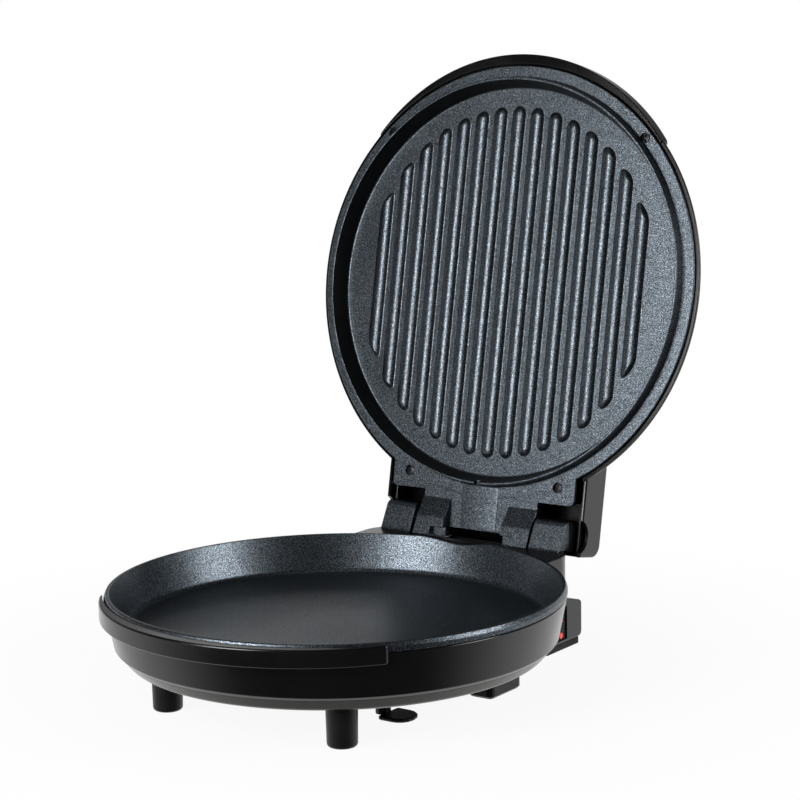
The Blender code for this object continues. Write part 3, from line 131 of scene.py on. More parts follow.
# Bottom cover and feet
COVER_DEPTH = 46.2 * MM
COVER_CORNER_RADIUS = 137.6 * MM
COVER_TURN = 8.5 * MM
COVER_SHEET = 0.9 * MM
GROUND = 75 * MM
FOOT_X = 71.52 * MM
FOOT_Y = -90.56 * MM
FOOT_TOP_RADIUS = 10.9 * MM
FOOT_RADIUS = 9.8 * MM
FOOT_TURN = 2.4 * MM
FOOT_RING = 3.0 * MM
FOOT_RING_ROUND = 0.6 * MM
FOOT_RING_UNDERCUT = 0.4 * MM
FOOT_RING_TAPER = 0.1 * MM
FOOT_NECK = 0.7 * MM

# Upper plate
PLATE_FLOOR_RADIUS = 140.9 * MM
PLATE_WALL = 3.0 * MM
PLATE_FILLET = 1.4 * MM
LIP_RADIUS = 145.2 * MM
LIP_HEIGHT = 13.6 * MM
LIP_WIDTH = 1.8 * MM
LIP_ROUND = 0.75 * MM
LIP_FOOT = 0.9 * MM
LIP_NOTCH = 3.6 * MM
FLANGE_RADIUS = 156.5 * MM
FLANGE_LEVEL = 6.0 * MM
FLANGE_SHEET = 3.5 * MM
RIB_COUNT = 15
RIB_PITCH = 15.68 * MM
RIB_CIRCLE = 122.0 * MM
RIB_SLANT = 0.55
RIB_CROWN = 7.0 * MM
RIB_FILLET = 1.6 * MM
RIB_SLOPE = 46
RIB_SHIFT = -1.4 * MM
RIB_SINK = THIN / 20
RIB_CROWN_STEPS = 8
RIB_FILLET_STEPS = 7
RIB_END_STEPS = 16
TAB_HALF = 78 * MM
TAB_START = 112 * MM
TAB_END = 155 * MM
TAB_CORNER = 4.0 * MM
TAB_BEVEL = 0.5 * MM
TONGUE_HALF = 48.4 * MM
TONGUE_START = 149 * MM
TONGUE_END = 180.2 * MM
TONGUE_CORNER = 0.9 * MM
CENTRE_BAND_HALF = 15.3 * MM
CENTRE_BAND_START = 148 * MM
CENTRE_BAND_END = 179.3 * MM
CENTRE_BAND_RAISE = 0.2 * MM
CENTRE_BAND_CROWN = 0.5 * MM
CENTRE_BAND_BEVEL = 0.4 * MM
LUG_TOP = 160.5 * MM
LUG_BEND = 174 * MM
LUG_BEND_RISE = 13 * MM
LUG_BEND_ROUND = 13.6 * MM
LUG_END = 188 * MM
LUG_RISE = 17 * MM
LUG_ROUND = 0.9 * MM
LUG_NOTCH_START = 23.7 * MM
LUG_NOTCH_END = 35 * MM
LUG_NOTCH_FLOOR = 10.1 * MM
LUG_NOTCH = 181.2 * MM
LUG_BEVEL = 0.6 * MM

# Screws
SCREWS = {
    "front_right": (107.4 * MM, 106 * MM),
    "front_left": (-107.4 * MM, 106 * MM),
    "back_right": (63.9 * MM, -143 * MM),
    "back_left": (-63.9 * MM, -143 * MM),
}
SCREW_TURN = 4000
SCREW_HEAD_RADIUS = 3.1 * MM
SCREW_HEAD = 1.7 * MM
SCREW_CROWN = 0.25 * MM
SCREW_BROW = 0.2 * MM
SCREW_ROUND = 0.6 * MM
SCREW_SINK = 0.9 * MM
SCREW_LENGTH = 11 * MM
SCREW_SHANK_RADIUS = 1.6 * MM
COUNTERBORE_RADIUS = 4.0 * MM
COUNTERBORE_DEPTH = 2.9 * MM
CROSS_WIDTH = 0.9 * MM
CROSS_REACH = 2.1 * MM
CROSS_DEPTH = 1.0 * MM

# Lid shell
SHELL_RADIUS = 159.5 * MM
SHELL_EDGE = 2.2 * MM
SHELL_EDGE_ROUND = 0.7 * MM
SHELL_LEVEL = 4.0 * MM
SHELL_WALL = 2.5 * MM
SHELL_PROFILE = ((151.5 * MM, -10 * MM), (140 * MM, -22 * MM), (110 * MM, -27.5 * MM))
SHELL_DEPTH = 30 * MM
SHELL_SOFTNESS = 30 * MM
HOOD_HALF_WIDTH = 85 * MM
HOOD_START = 100 * MM
HOOD_END = 190 * MM
HOOD_LEVEL = 2.0 * MM
HOOD_DEPTH = 25 * MM
HOOD_CORNER = 9 * MM
HOOD_BEVEL = 1.4 * MM
HOOD_SCALLOP = 12.0 * MM
HOOD_SCALLOP_LEVEL = 5.0 * MM
HOOD_RIB = 2.0 * MM
HOOD_RIB_V = 152.5 * MM
HOOD_RIB_U = 78.6 * MM
HOOD_RIB_BEVEL = 0.3 * MM
LID_GRIP_LEVEL = 6.3 * MM
LID_GRIP_DEPTH = 5.0 * MM
LID_GRIP_CLEARANCE = 1.1 * MM
LID_GRIP_BULGE = 5.5 * MM

# Stage
FLOOR_REACH = 6.0
FLOOR_SHEET = 0.01
SHADOW_NEAR = 0.1
SHADOW_FAR = 0.5
SHADOW_WHITE = 0.92
MIRROR_BACK = -0.75
FLOOR_MIRROR_FRONT = 0.3
FLOOR_MIRROR_DIMMING = 0.96
SKY_MIRROR_FRONT = 0.1
SKY_MIRROR_LEAST = 0.03
SKY_LOW = 0.05
SKY_HIGH = 0.3
SKY_TOP = 0.15
SKY_FILL = 0.15
LAMP_CENTRE = Vector((0, 0.1, 0.2))

# Lamps: azimuth and elevation in degrees, distance, aim, width and height in metres, power in watts
LAMPS = {
    "front": (-9, 15, 1.35, LAMP_CENTRE, (0.55, 0.8), 15.5),
    "side": (102, 15, 1.4, LAMP_CENTRE, (0.5, 0.7), 11),
    "top": (-60, 75, 1.9, LAMP_CENTRE, (1.4, 1.4), 2),
    "back": (-141, 12, 1.5, Vector((0, 0, 0.05)), (0.6, 0.4), 0.35),
}


# Meshes

def rounded(corners, steps=6, closed=False):
    """Points along straight runs, with an arc of the given radius at each corner (x, y, radius)."""
    points = []
    count = len(corners)
    for index, corner in enumerate(corners):
        here = Vector(corner[:2])
        radius = corner[2] if len(corner) > 2 else 0.0
        if not radius or (not closed and index in (0, count - 1)):
            points.append(here)
            continue
        back = (Vector(corners[index - 1][:2]) - here).normalized()
        ahead = (Vector(corners[(index + 1) % count][:2]) - here).normalized()
        half = back.angle(ahead) / 2
        centre = here + (back + ahead).normalized() * (radius / math.sin(half))
        first = here + back * (radius / math.tan(half)) - centre
        last = here + ahead * (radius / math.tan(half)) - centre
        sweep = -first.angle_signed(last)
        for step in range(steps + 1):
            points.append(centre + Matrix.Rotation(sweep * step / steps, 2) @ first)
    return points


def arc(centre, radius, start, end, count):
    """Points of an arc from its start to its end angle, in degrees from X."""
    turns = [math.radians(start + (end - start) * index / count) for index in range(count + 1)]
    return [Vector((centre[0] + radius * math.cos(turn), centre[1] + radius * math.sin(turn)))
            for turn in turns]


def object_from(shape, name, matrix):
    """A new object with the shape's mesh, placed by the matrix."""
    mesh = bpy.data.meshes.new(name)
    bmesh.ops.recalc_face_normals(shape, faces=shape.faces)
    shape.to_mesh(mesh)
    shape.free()
    item = bpy.data.objects.new(name, mesh)
    bpy.context.scene.collection.objects.link(item)
    item.matrix_world = matrix
    return item


def lathe(name, profile, matrix, steps=ROUND, closed=False):
    """A profile of radius and height swept round Z, with a single point where it meets the axis."""
    shape = bmesh.new()
    rings = []
    for radius, height in profile:
        if not radius:
            rings.append([shape.verts.new((0, 0, height))])
            continue
        turns = [2 * math.pi * step / steps for step in range(steps)]
        rings.append([shape.verts.new((radius * math.cos(turn), radius * math.sin(turn), height))
                      for turn in turns])
    pairs = list(zip(rings, rings[1:]))
    if closed:
        pairs.append((rings[-1], rings[0]))
    for first, second in pairs:
        for step in range(steps):
            after = (step + 1) % steps
            corners = [first[step % len(first)], first[after % len(first)],
                       second[after % len(second)], second[step % len(second)]]
            shape.faces.new(list(dict.fromkeys(corners)))
    return object_from(shape, name, matrix)


def prism(name, outline, low, high, matrix, across="Z"):
    """A flat outline from low to high along Z, or along X or Y for an outline that stands up."""
    def spot(point, level):
        x, y = point
        return {"X": (level, x, y), "Y": (x, level, y), "Z": (x, y, level)}[across]

    shape = bmesh.new()
    bottom = [shape.verts.new(spot(point, low)) for point in outline]
    top = [shape.verts.new(spot(point, high)) for point in outline]
    shape.faces.new(bottom[::-1])
    shape.faces.new(top)
    for index in range(len(outline)):
        after = (index + 1) % len(outline)
        shape.faces.new((bottom[index], bottom[after], top[after], top[index]))
    return object_from(shape, name, matrix)


def block(name, low, high, matrix):
    """A box between two opposite corners."""
    corners = [(low[0], low[1]), (high[0], low[1]), (high[0], high[1]), (low[0], high[1])]
    return prism(name, corners, low[2], high[2], matrix)


def rod(name, radius, start, end, matrix, steps=SMALL_ROUND):
    """A round rod between the middles of its two ends."""
    way = Vector(end) - Vector(start)
    turn = Matrix.Translation(start) @ way.to_track_quat("Z", "Y").to_matrix().to_4x4()
    return lathe(name, [(0, 0), (radius, 0), (radius, way.length), (0, way.length)], matrix @ turn, steps)


def bake(item):
    """Turn an object's modifiers into its mesh."""
    bpy.context.view_layer.update()
    seen = item.evaluated_get(bpy.context.evaluated_depsgraph_get())
    old = item.data
    item.data = bpy.data.meshes.new_from_object(seen)
    item.modifiers.clear()
    bpy.data.meshes.remove(old)
    return item


def combine(item, tool, operation):
    """Join the tool to the item or cut it out, and remove the tool."""
    step = item.modifiers.new(operation, "BOOLEAN")
    step.operation = operation
    step.solver = "EXACT"
    step.object = tool
    bake(item)
    bpy.data.objects.remove(tool, do_unlink=True)


def carve(item, tool):
    combine(item, tool, "DIFFERENCE")


def unite(item, tool):
    combine(item, tool, "UNION")


def soften(item, width, segments=3, angle=32.0):
    """Round the edges that are sharper than the angle, and keep flat faces flat."""
    step = item.modifiers.new("edges", "BEVEL")
    step.width = width
    step.segments = segments
    step.limit_method = "ANGLE"
    step.angle_limit = math.radians(angle)
    step.harden_normals = False
    return bake(item)


def dress(item, finish, body, node=None, sharp=40.0):
    """Shade, colour and hang a piece on its body, in place of its plain node where it has one.

    The mesh takes in the object's matrix, so that the bound box of a tilted piece fits it closely.
    """
    item.data.transform(item.matrix_world)
    item.matrix_world = Matrix.Identity(4)
    item.data.materials.clear()
    item.data.materials.append(finish)
    item.data.shade_smooth()
    item.data.set_sharp_from_angle(angle=math.radians(sharp))
    step = item.modifiers.new("flat faces", "WEIGHTED_NORMAL")
    step.keep_sharp = True
    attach(item, body)
    if node:
        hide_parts(*([node] if isinstance(node, str) else node))


# Finishes

class Signal:
    """A number that varies over a surface, which plain arithmetic turns into Math nodes."""

    def __init__(self, finish, socket):
        self.finish = finish
        self.socket = socket

    def math(self, operation, first, second=0.0):
        return self.finish.node("ShaderNodeMath", {"operation": operation}, {0: first, 1: second})

    def __add__(self, other):
        return self.math("ADD", self, other)

    __radd__ = __add__

    def __mul__(self, other):
        return self.math("MULTIPLY", self, other)

    __rmul__ = __mul__

    def __sub__(self, other):
        return self.math("SUBTRACT", self, other)

    def __rsub__(self, other):
        return self.math("SUBTRACT", other, self)

    def __truediv__(self, other):
        return self.math("DIVIDE", self, other)


class Nodes:
    """A node tree that is filled in from expressions."""

    def __init__(self, tree):
        self.tree = tree

    def node(self, kind, settings=None, inputs=None, output=0):
        made = self.tree.nodes.new(kind)
        for key, value in (settings or {}).items():
            setattr(made, key, value)
        for key, value in (inputs or {}).items():
            self.feed(made.inputs[key], value)
        return Signal(self, made.outputs[output])

    def feed(self, socket, value):
        if isinstance(value, Signal):
            self.tree.links.new(value.socket, socket)
        else:
            socket.default_value = value

    def place(self, kind="Object"):
        return self.node("ShaderNodeTexCoord", output=kind)

    def noise(self, size, detail=2.0, rough=0.5):
        """Soft noise whose blobs are about size across, in metres."""
        inputs = {"Vector": self.place(), "Scale": 1 / size, "Detail": detail, "Roughness": rough}
        return self.node("ShaderNodeTexNoise", {}, inputs)

    def between(self, value, low, high, start=0.0, end=1.0):
        """Go softly from start to end while the value goes from low to high."""
        inputs = {"Value": value, "From Min": low, "From Max": high, "To Min": start, "To Max": end}
        return self.node("ShaderNodeMapRange", {"interpolation_type": "SMOOTHSTEP"}, inputs)

    def mix(self, share, first, second):
        return self.node("ShaderNodeMix", {"data_type": "RGBA"}, {0: share, 6: first, 7: second}, 2)

    def bump(self, height, depth, strength=1.0):
        return self.node("ShaderNodeBump", {}, {"Height": height, "Distance": depth, "Strength": strength})

    def ray(self, *kinds):
        """One where the ray is of any of the kinds, and else zero."""
        seen = self.node("ShaderNodeLightPath", output=kinds[0])
        for kind in kinds[1:]:
            seen = seen.math("MAXIMUM", seen, self.node("ShaderNodeLightPath", output=kind))
        return seen

    def along(self, vector, way):
        """How far a vector reaches along a way, where both may have any length."""
        return self.node("ShaderNodeVectorMath", {"operation": "DOT_PRODUCT"}, {0: vector, 1: way}, "Value")


class Finish(Nodes):
    """A material with its Principled shader."""

    def __init__(self, name):
        self.material = bpy.data.materials.new(name)
        self.material.use_nodes = True
        super().__init__(self.material.node_tree)
        self.shader = self.tree.nodes["Principled BSDF"]

    def set(self, **values):
        for key, value in values.items():
            self.feed(self.shader.inputs[key.replace("_", " ")], value)


def colour(red, green, blue):
    return (red, green, blue, 1.0)


def speckled_coating():
    """Baked non-stick coat: blue-black with fine metal flakes and a slightly pebbled skin."""
    coat = Finish("speckled coating")
    grain = coat.noise(0.55 * MM, 1.0)
    flakes = coat.noise(0.5 * MM, 1.0)
    cloud = coat.noise(60 * MM, 3.0)
    dark = colour(0.024, 0.0275, 0.0315)
    bright = colour(0.265, 0.31, 0.355)
    coat.set(Base_Color=coat.mix(coat.between(flakes, 0.45, 0.7), dark, bright),
             Metallic=coat.between(flakes, 0.3, 0.42),
             Roughness=coat.between(cloud, 0.3, 0.7, 0.35, 0.39), Specular_IOR_Level=0.3,
             Normal=coat.bump(grain, 0.02 * MM, 0.25))
    return coat.material


def painted_shade_coating():
    """The same coat on the steep wall of the upper plate, painted near black and without flakes, as painted shade
    for the shade that falls in the recess.
    """
    coat = Finish("painted shade coating")
    cloud = coat.noise(30 * MM, 3.0)
    # Painted shade: the wall's colour is near black, far darker than the speckled coat, in place of the shade in
    # the recess.
    coat.set(Base_Color=coat.mix(cloud, colour(0.003, 0.0033, 0.0036), colour(0.006, 0.0064, 0.007)),
             Roughness=coat.between(cloud, 0.3, 0.7, 0.3, 0.36), Specular_IOR_Level=0.15,
             Normal=coat.bump(coat.noise(0.55 * MM, 1.0), 0.02 * MM, 0.25))
    return coat.material


def gloss_black():
    """Moulded housing plastic: deep black with a faint orange peel and uneven polish."""
    skin = Finish("gloss black plastic")
    peel = skin.noise(3.5 * MM, 2.0)
    cloud = skin.noise(45 * MM, 4.0)
    skin.set(Base_Color=skin.mix(cloud, colour(0.0025, 0.0025, 0.003), colour(0.0045, 0.0045, 0.005)),
             Roughness=skin.between(cloud, 0.3, 0.7, 0.16, 0.24), Specular_IOR_Level=0.5,
             Normal=skin.bump(peel, 0.03 * MM, 0.25))
    return skin.material


def matt_black():
    """Spark-textured plastic of the feet, hooks and strip."""
    skin = Finish("matt black plastic")
    grain = skin.noise(0.5 * MM, 2.0)
    cloud = skin.noise(20 * MM, 3.0)
    skin.set(Base_Color=skin.mix(cloud, colour(0.005, 0.005, 0.006), colour(0.009, 0.009, 0.010)),
             Roughness=skin.between(cloud, 0.3, 0.7, 0.34, 0.45), Specular_IOR_Level=0.25,
             Normal=skin.bump(grain, 0.05 * MM, 0.4))
    return skin.material


def bronze_paint():
    """Satin paint with a metallic flake on the pressed bottom cover."""
    paint = Finish("bronze cover paint")
    flake = paint.between(paint.noise(0.6 * MM, 1.0), 0.45, 0.65)
    cloud = paint.noise(50 * MM, 3.0)
    paint.set(Base_Color=paint.mix(flake, colour(0.012, 0.0114, 0.0095), colour(0.030, 0.028, 0.024)),
              Metallic=0.7, Specular_IOR_Level=0.3, Roughness=paint.between(cloud, 0.3, 0.7, 0.22, 0.30),
              Normal=paint.bump(flake, 0.02 * MM, 0.3))
    return paint.material


def plain_steel(name, tint, rough):
    """Rolled metal with fine streaks and slight staining."""
    metal = Finish(name)
    stretch = (40, 900, 900)
    stretched = metal.node("ShaderNodeVectorMath", {"operation": "MULTIPLY"}, {0: metal.place(), 1: stretch})
    streak = metal.node("ShaderNodeTexNoise", {}, {"Vector": stretched, "Scale": 1.0, "Detail": 2.0})
    stain = metal.noise(12 * MM, 3.0)
    dark = tuple(part * 0.72 for part in tint)
    metal.set(Base_Color=metal.mix(stain, colour(*dark), colour(*tint)), Metallic=1.0,
              Roughness=metal.between(streak, 0.2, 0.8, rough - 0.06, rough + 0.08),
              Normal=metal.bump(streak, 0.02 * MM, 0.3))
    return metal.material


def black_screw():
    """Blackened screw steel, rubbed a little on its high spots."""
    metal = Finish("black screw steel")
    worn = metal.between(metal.noise(1.2 * MM, 3.0), 0.5, 0.75)
    metal.set(Base_Color=metal.mix(worn, colour(0.03, 0.03, 0.032), colour(0.11, 0.11, 0.115)),
              Metallic=0.85, Roughness=0.42 - worn * 0.12, Normal=metal.bump(worn, 0.02 * MM, 0.4))
    return metal.material


def red_lens():
    """Red lamp lens with a pale core and a faint painted glow, though the lamp is not lit."""
    lens = Finish("red lamp lens")
    core = lens.noise(1.5 * MM, 1.0)
    # Painted glow: a weak red emission makes the unlit lens shine.
    lens.set(Base_Color=lens.mix(core, colour(0.75, 0.03, 0.02), colour(0.95, 0.12, 0.07)),
             Roughness=0.12 + core * 0.06, Emission_Color=colour(0.9, 0.05, 0.03), Emission_Strength=0.25)
    return lens.material


def soft_rubber():
    """Moulded rubber with a dusty bloom."""
    skin = Finish("stand rubber")
    bloom = skin.noise(8 * MM, 4.0)
    skin.set(Base_Color=skin.mix(bloom, colour(0.006, 0.006, 0.006), colour(0.02, 0.02, 0.019)),
             Roughness=skin.between(bloom, 0.3, 0.7, 0.6, 0.75), Specular_IOR_Level=0.3,
             Normal=skin.bump(skin.noise(0.7 * MM), 0.05 * MM, 0.4))
    return skin.material


def ceramic():
    """Unglazed white ceramic."""
    body = Finish("ceramic")
    pores = body.noise(1.0 * MM, 3.0)
    body.set(Base_Color=body.mix(pores, colour(0.66, 0.64, 0.59), colour(0.8, 0.78, 0.73)),
             Roughness=body.between(pores, 0.3, 0.7, 0.55, 0.7), Normal=body.bump(pores, 0.04 * MM, 0.4))
    return body.material


# Base pieces

def pan_inside(depth):
    """The pan's inside radius at a depth below its rim."""
    return PAN_RADIUS - (PAN_RADIUS - PAN_FLOOR_RADIUS) * depth / PAN_DEPTH


def dip_rim(item):
    """Lower the rim behind in a soft wave, where the lid's hinge side meets the pan."""
    for vert in item.data.vertices:
        x, y, z = vert.co
        away = abs(x - DIP_MIDDLE) / DIP_HALF_WIDTH
        if y > 0 and away < 1 and z > -PAN_DEPTH / 2:
            share = 1 + z / (PAN_DEPTH / 2)
            vert.co.z -= DIP_DEPTH * share * (1 + math.cos(math.pi * away)) / 2
    return item


def rim_seat():
    """The radius of what the rim's underside rests on, clear of the pan's wall."""
    return pan_inside(RIM_DROP) + PAN_WALL + PAN_CLEARANCE


def pan_well():
    """A cutter for the room that the pan's rim takes over the housing."""
    return rod("well", PAN_RADIUS + RIM_WIDTH + PAN_CLEARANCE, (0, 0, -WALL_TOP), (0, 0, FAR), BASE, ROUND)


def make_pan(finish):
    rim = PAN_RADIUS + RIM_WIDTH
    under = PAN_DEPTH + PAN_WALL
    profile = rounded([
        (0, -PAN_DEPTH),
        (PAN_FLOOR_RADIUS, -PAN_DEPTH, PAN_FILLET),
        (pan_inside(PAN_DEPTH / 2), -PAN_DEPTH / 2),
        (PAN_RADIUS, 0, RIM_ROUND / 2),
        (rim - RIM_ROUND, 0, RIM_ROUND),
        (rim, -RIM_DROP / 2, RIM_OUTER_ROUND),
        (rim, -RIM_DROP, RIM_ROUND / 3),
        (pan_inside(RIM_DROP) + PAN_WALL, -RIM_DROP),
        (pan_inside(under) + PAN_WALL, -under),
        (0, -under),
    ])
    pan = dip_rim(lathe("pan_casting", profile, BASE))
    dress(pan, finish, "base", "lower_pan")


def crescent(inner, outer, bulge):
    """The outline between a circle and a flatter arc that stands out by bulge, towards -Y."""
    half = math.radians(GRIP_ANGLE)
    side = outer * math.sin(half)
    front = outer * math.cos(half)
    peak = outer + bulge
    centre = (side * side + front * front - peak * peak) / (2 * (front - peak))
    radius = peak - centre
    reach = math.degrees(math.atan2(side, front - centre))
    far = arc((0, -centre), radius, -90 - reach, -90 + reach, GRIP_STEPS)
    near = arc((0, 0), inner, -90 + GRIP_ANGLE, -90 - GRIP_ANGLE, GRIP_STEPS)
    return far[1:-1] + near


def make_housing(finish):
    """The housing's bowl and the grip that stands out from it in front."""
    turn = HOUSING_BOTTOM_RADIUS + HOUSING_TURN
    profile = rounded([
        (rim_seat(), -WALL_TOP),
        (WALL_TOP_RADIUS, -WALL_TOP, WALL_TOP_ROUND),
        (turn, -HOUSING_HEIGHT + HOUSING_TURN, HOUSING_TURN),
        (HOUSING_BOTTOM_RADIUS, -HOUSING_HEIGHT),
        (HOUSING_BOTTOM_RADIUS - HOUSING_WALL, -HOUSING_HEIGHT),
        (turn - HOUSING_WALL, -HOUSING_HEIGHT + HOUSING_TURN),
        (rim_seat(), -WALL_LEDGE),
    ], closed=True)
    bowl = lathe("housing_bowl", profile, BASE, closed=True)
    dress(bowl, finish, "base", "base_housing")
    outline = crescent(WALL_TOP_RADIUS - HOUSING_WALL, BASE_GRIP_END_RADIUS, BASE_GRIP_BULGE)
    grip = prism("front_grip", outline, -BASE_GRIP_BOTTOM, -BASE_GRIP_TOP, BASE)
    carve(soften(grip, GRIP_BEVEL, segments=4), pan_well())
    dress(grip, finish, "base")


def make_deck(finish):
    half = DECK_HALF_WIDTH
    outline = rounded([
        (-half, DECK_FRONT),
        (half, DECK_FRONT),
        (half, DECK_BACK, DECK_CORNER),
        (-half, DECK_BACK, DECK_CORNER),
    ], steps=16, closed=True)
    deck = prism("hinge_deck", outline, -DECK_BOTTOM, -DECK_DROP, BASE)
    soften(deck, DECK_BEVEL, segments=4)
    carve(deck, pan_well())
    carve(deck, rod("core", rim_seat(), (0, 0, -HOUSING_HEIGHT), (0, 0, FAR), BASE, ROUND))
    width = (LUG_OUTER + EAR_INNER) / 2
    pin = (HINGE_BACK, HINGE_RISE)
    carve(deck, rod("scoop", LUG_REACH, (-width, *pin), (width, *pin), BASE, ROUND // 2))
    dress(deck, finish, "base")


def ear_front():
    """Side view of an ear's coated front: it leans back from its foot and ends in a soft crown."""
    foot = -DECK_DROP
    return rounded([
        (EAR_FOOT - EAR_FLARE, foot),
        (EAR_FOOT, foot + EAR_FLARE, EAR_FLARE),
        (EAR_BROW, EAR_CROWN, EAR_ROUND),
        (EAR_SPLIT, EAR_CROWN),
        (EAR_SPLIT, foot),
    ], steps=12)


def ear_back():
    """Side view of the black knuckle behind an ear's front, which holds the pin."""
    foot = -DECK_DROP
    front = EAR_SPLIT - THIN
    knuckle = arc((HINGE_BACK, HINGE_RISE), KNUCKLE_RADIUS, *EAR_SWEEP, 36)
    return [Vector((front, foot)), Vector((front, HINGE_RISE + KNUCKLE_RADIUS)), *knuckle,
            Vector((DECK_BACK + THIN, foot))]


def make_ears(finish, knuckle_finish):
    for side, word in ((1, "right"), (-1, "left")):
        low, high = sorted((side * EAR_INNER, side * EAR_OUTER))
        ear = prism(f"ear_{word}", ear_front(), low, high, BASE, across="X")
        dress(soften(ear, EAR_BEVEL), finish, "base", f"hinge_ear_{word}")
        knuckle = prism(f"knuckle_{word}", ear_back(), low + THIN, high - THIN, BASE, across="X")
        dress(soften(knuckle, EAR_BEVEL), knuckle_finish, "base")


def make_cover(finish):
    rim = HOUSING_BOTTOM_RADIUS - THIN
    profile = rounded([
        (0, -COVER_DEPTH + COVER_SHEET),
        (COVER_CORNER_RADIUS - COVER_SHEET, -COVER_DEPTH + COVER_SHEET, COVER_TURN - COVER_SHEET),
        (rim - COVER_SHEET, -HOUSING_HEIGHT - THIN),
        (rim, -HOUSING_HEIGHT - THIN),
        (COVER_CORNER_RADIUS, -COVER_DEPTH, COVER_TURN),
        (0, -COVER_DEPTH),
    ], steps=10)
    dress(lathe("cover_pressing", profile, BASE), finish, "base", "bottom_cover")


def make_feet(finish):
    for side, word in ((1, "right"), (-1, "left")):
        top = -COVER_DEPTH - THIN
        profile = rounded([
            (0, top),
            (FOOT_TOP_RADIUS, top, FOOT_RING_ROUND),
            (FOOT_TOP_RADIUS - FOOT_RING_TAPER, top - FOOT_RING, FOOT_RING_UNDERCUT),
            (FOOT_TOP_RADIUS - FOOT_NECK, top - FOOT_RING - FOOT_RING_UNDERCUT),
            (FOOT_RADIUS, -GROUND, FOOT_TURN),
            (0, -GROUND),
        ])
        place = BASE @ Matrix.Translation((side * FOOT_X, FOOT_Y, 0))
        dress(lathe(f"front_post_{word}", profile, place, SMALL_ROUND * 2), finish, "base",
              f"front_foot_{word}")


# Lid pieces

def rib_levels():
    """Distance from the rib's middle line and height over the floor, from its crown to its foot."""
    crown = arc((0, 0), RIB_CROWN, 90, 90 - RIB_SLOPE, RIB_CROWN_STEPS)
    foot = arc((0, 0), RIB_FILLET, 270 - RIB_SLOPE, 270, RIB_FILLET_STEPS)
    step = crown[-1] - foot[0]
    points = crown + [point + step for point in foot[1:]]
    return [(max(point.x, 0), point.y - points[-1].y - RIB_SINK) for point in points]


def rib(shape, middle):
    """Add one rib: rings round its middle line whose ends slant along the circle that holds them all."""
    levels = []
    for radius, rise in rib_levels():
        line = []
        for end, start in ((1, 0), (-1, 180)):
            for step in range(RIB_END_STEPS + 1):
                turn = math.radians(start + 180 * step / RIB_END_STEPS)
                across = radius * math.cos(turn)
                aside = middle - RIB_SHIFT + RIB_SLANT * across
                reach = math.sqrt(RIB_CIRCLE ** 2 - aside ** 2)
                line.append(shape.verts.new((middle + across, end * reach + radius * math.sin(turn), rise)))
        levels.append(line)
    for inner, outer in zip(levels, levels[1:]):
        for index in range(len(inner)):
            after = (index + 1) % len(inner)
            shape.faces.new((inner[index], outer[index], outer[after], inner[after]))
    bmesh.ops.remove_doubles(shape, verts=levels[0], dist=WELD)


def make_ribs(finish):
    shape = bmesh.new()
    centre = (RIB_COUNT - 1) / 2
    for index in range(RIB_COUNT):
        rib(shape, (index - centre) * RIB_PITCH + RIB_SHIFT)
    dress(object_from(shape, "grill_ribs", LID), finish, "lid", sharp=80.0)


def lug_outline():
    """Side view of a hinge lug, from the flange over its bend to the knuckle round the pin."""
    back = FLANGE_LEVEL - FLANGE_SHEET
    knuckle = arc((-HINGE_BACK, 0), KNUCKLE_RADIUS, *LUG_SWEEP, 24)
    front = rounded([
        (-LUG_TOP + back, back),
        (-LUG_TOP, FLANGE_LEVEL, LUG_ROUND),
        (-LUG_BEND, LUG_BEND_RISE, LUG_BEND_ROUND),
        (-LUG_END, LUG_RISE, LUG_ROUND),
        (-LUG_END, LUG_BEND_RISE / 2),
        knuckle[0],
    ])
    return front[:-1] + knuckle


def tab(name, half, start, end, corner, low, high):
    """A flat tab on the lid's hinge side, with its two far corners rounded."""
    outline = rounded([
        (-half, -start),
        (-half, -end, corner),
        (half, -end, corner),
        (half, -start),
    ], closed=True)
    return prism(name, outline, low, high, LID)


def paint_wall_shade(dish, finish):
    """Give the dish's steep inner wall its own finish, a darker coat that is painted shade."""
    dish.data.materials.append(finish)
    home = LID.inverted()
    for face in dish.data.polygons:
        spot = home @ face.center
        if PLATE_FLOOR_RADIUS < spot.xy.length < LIP_RADIUS and spot.z > PLATE_FILLET:
            face.material_index = 1


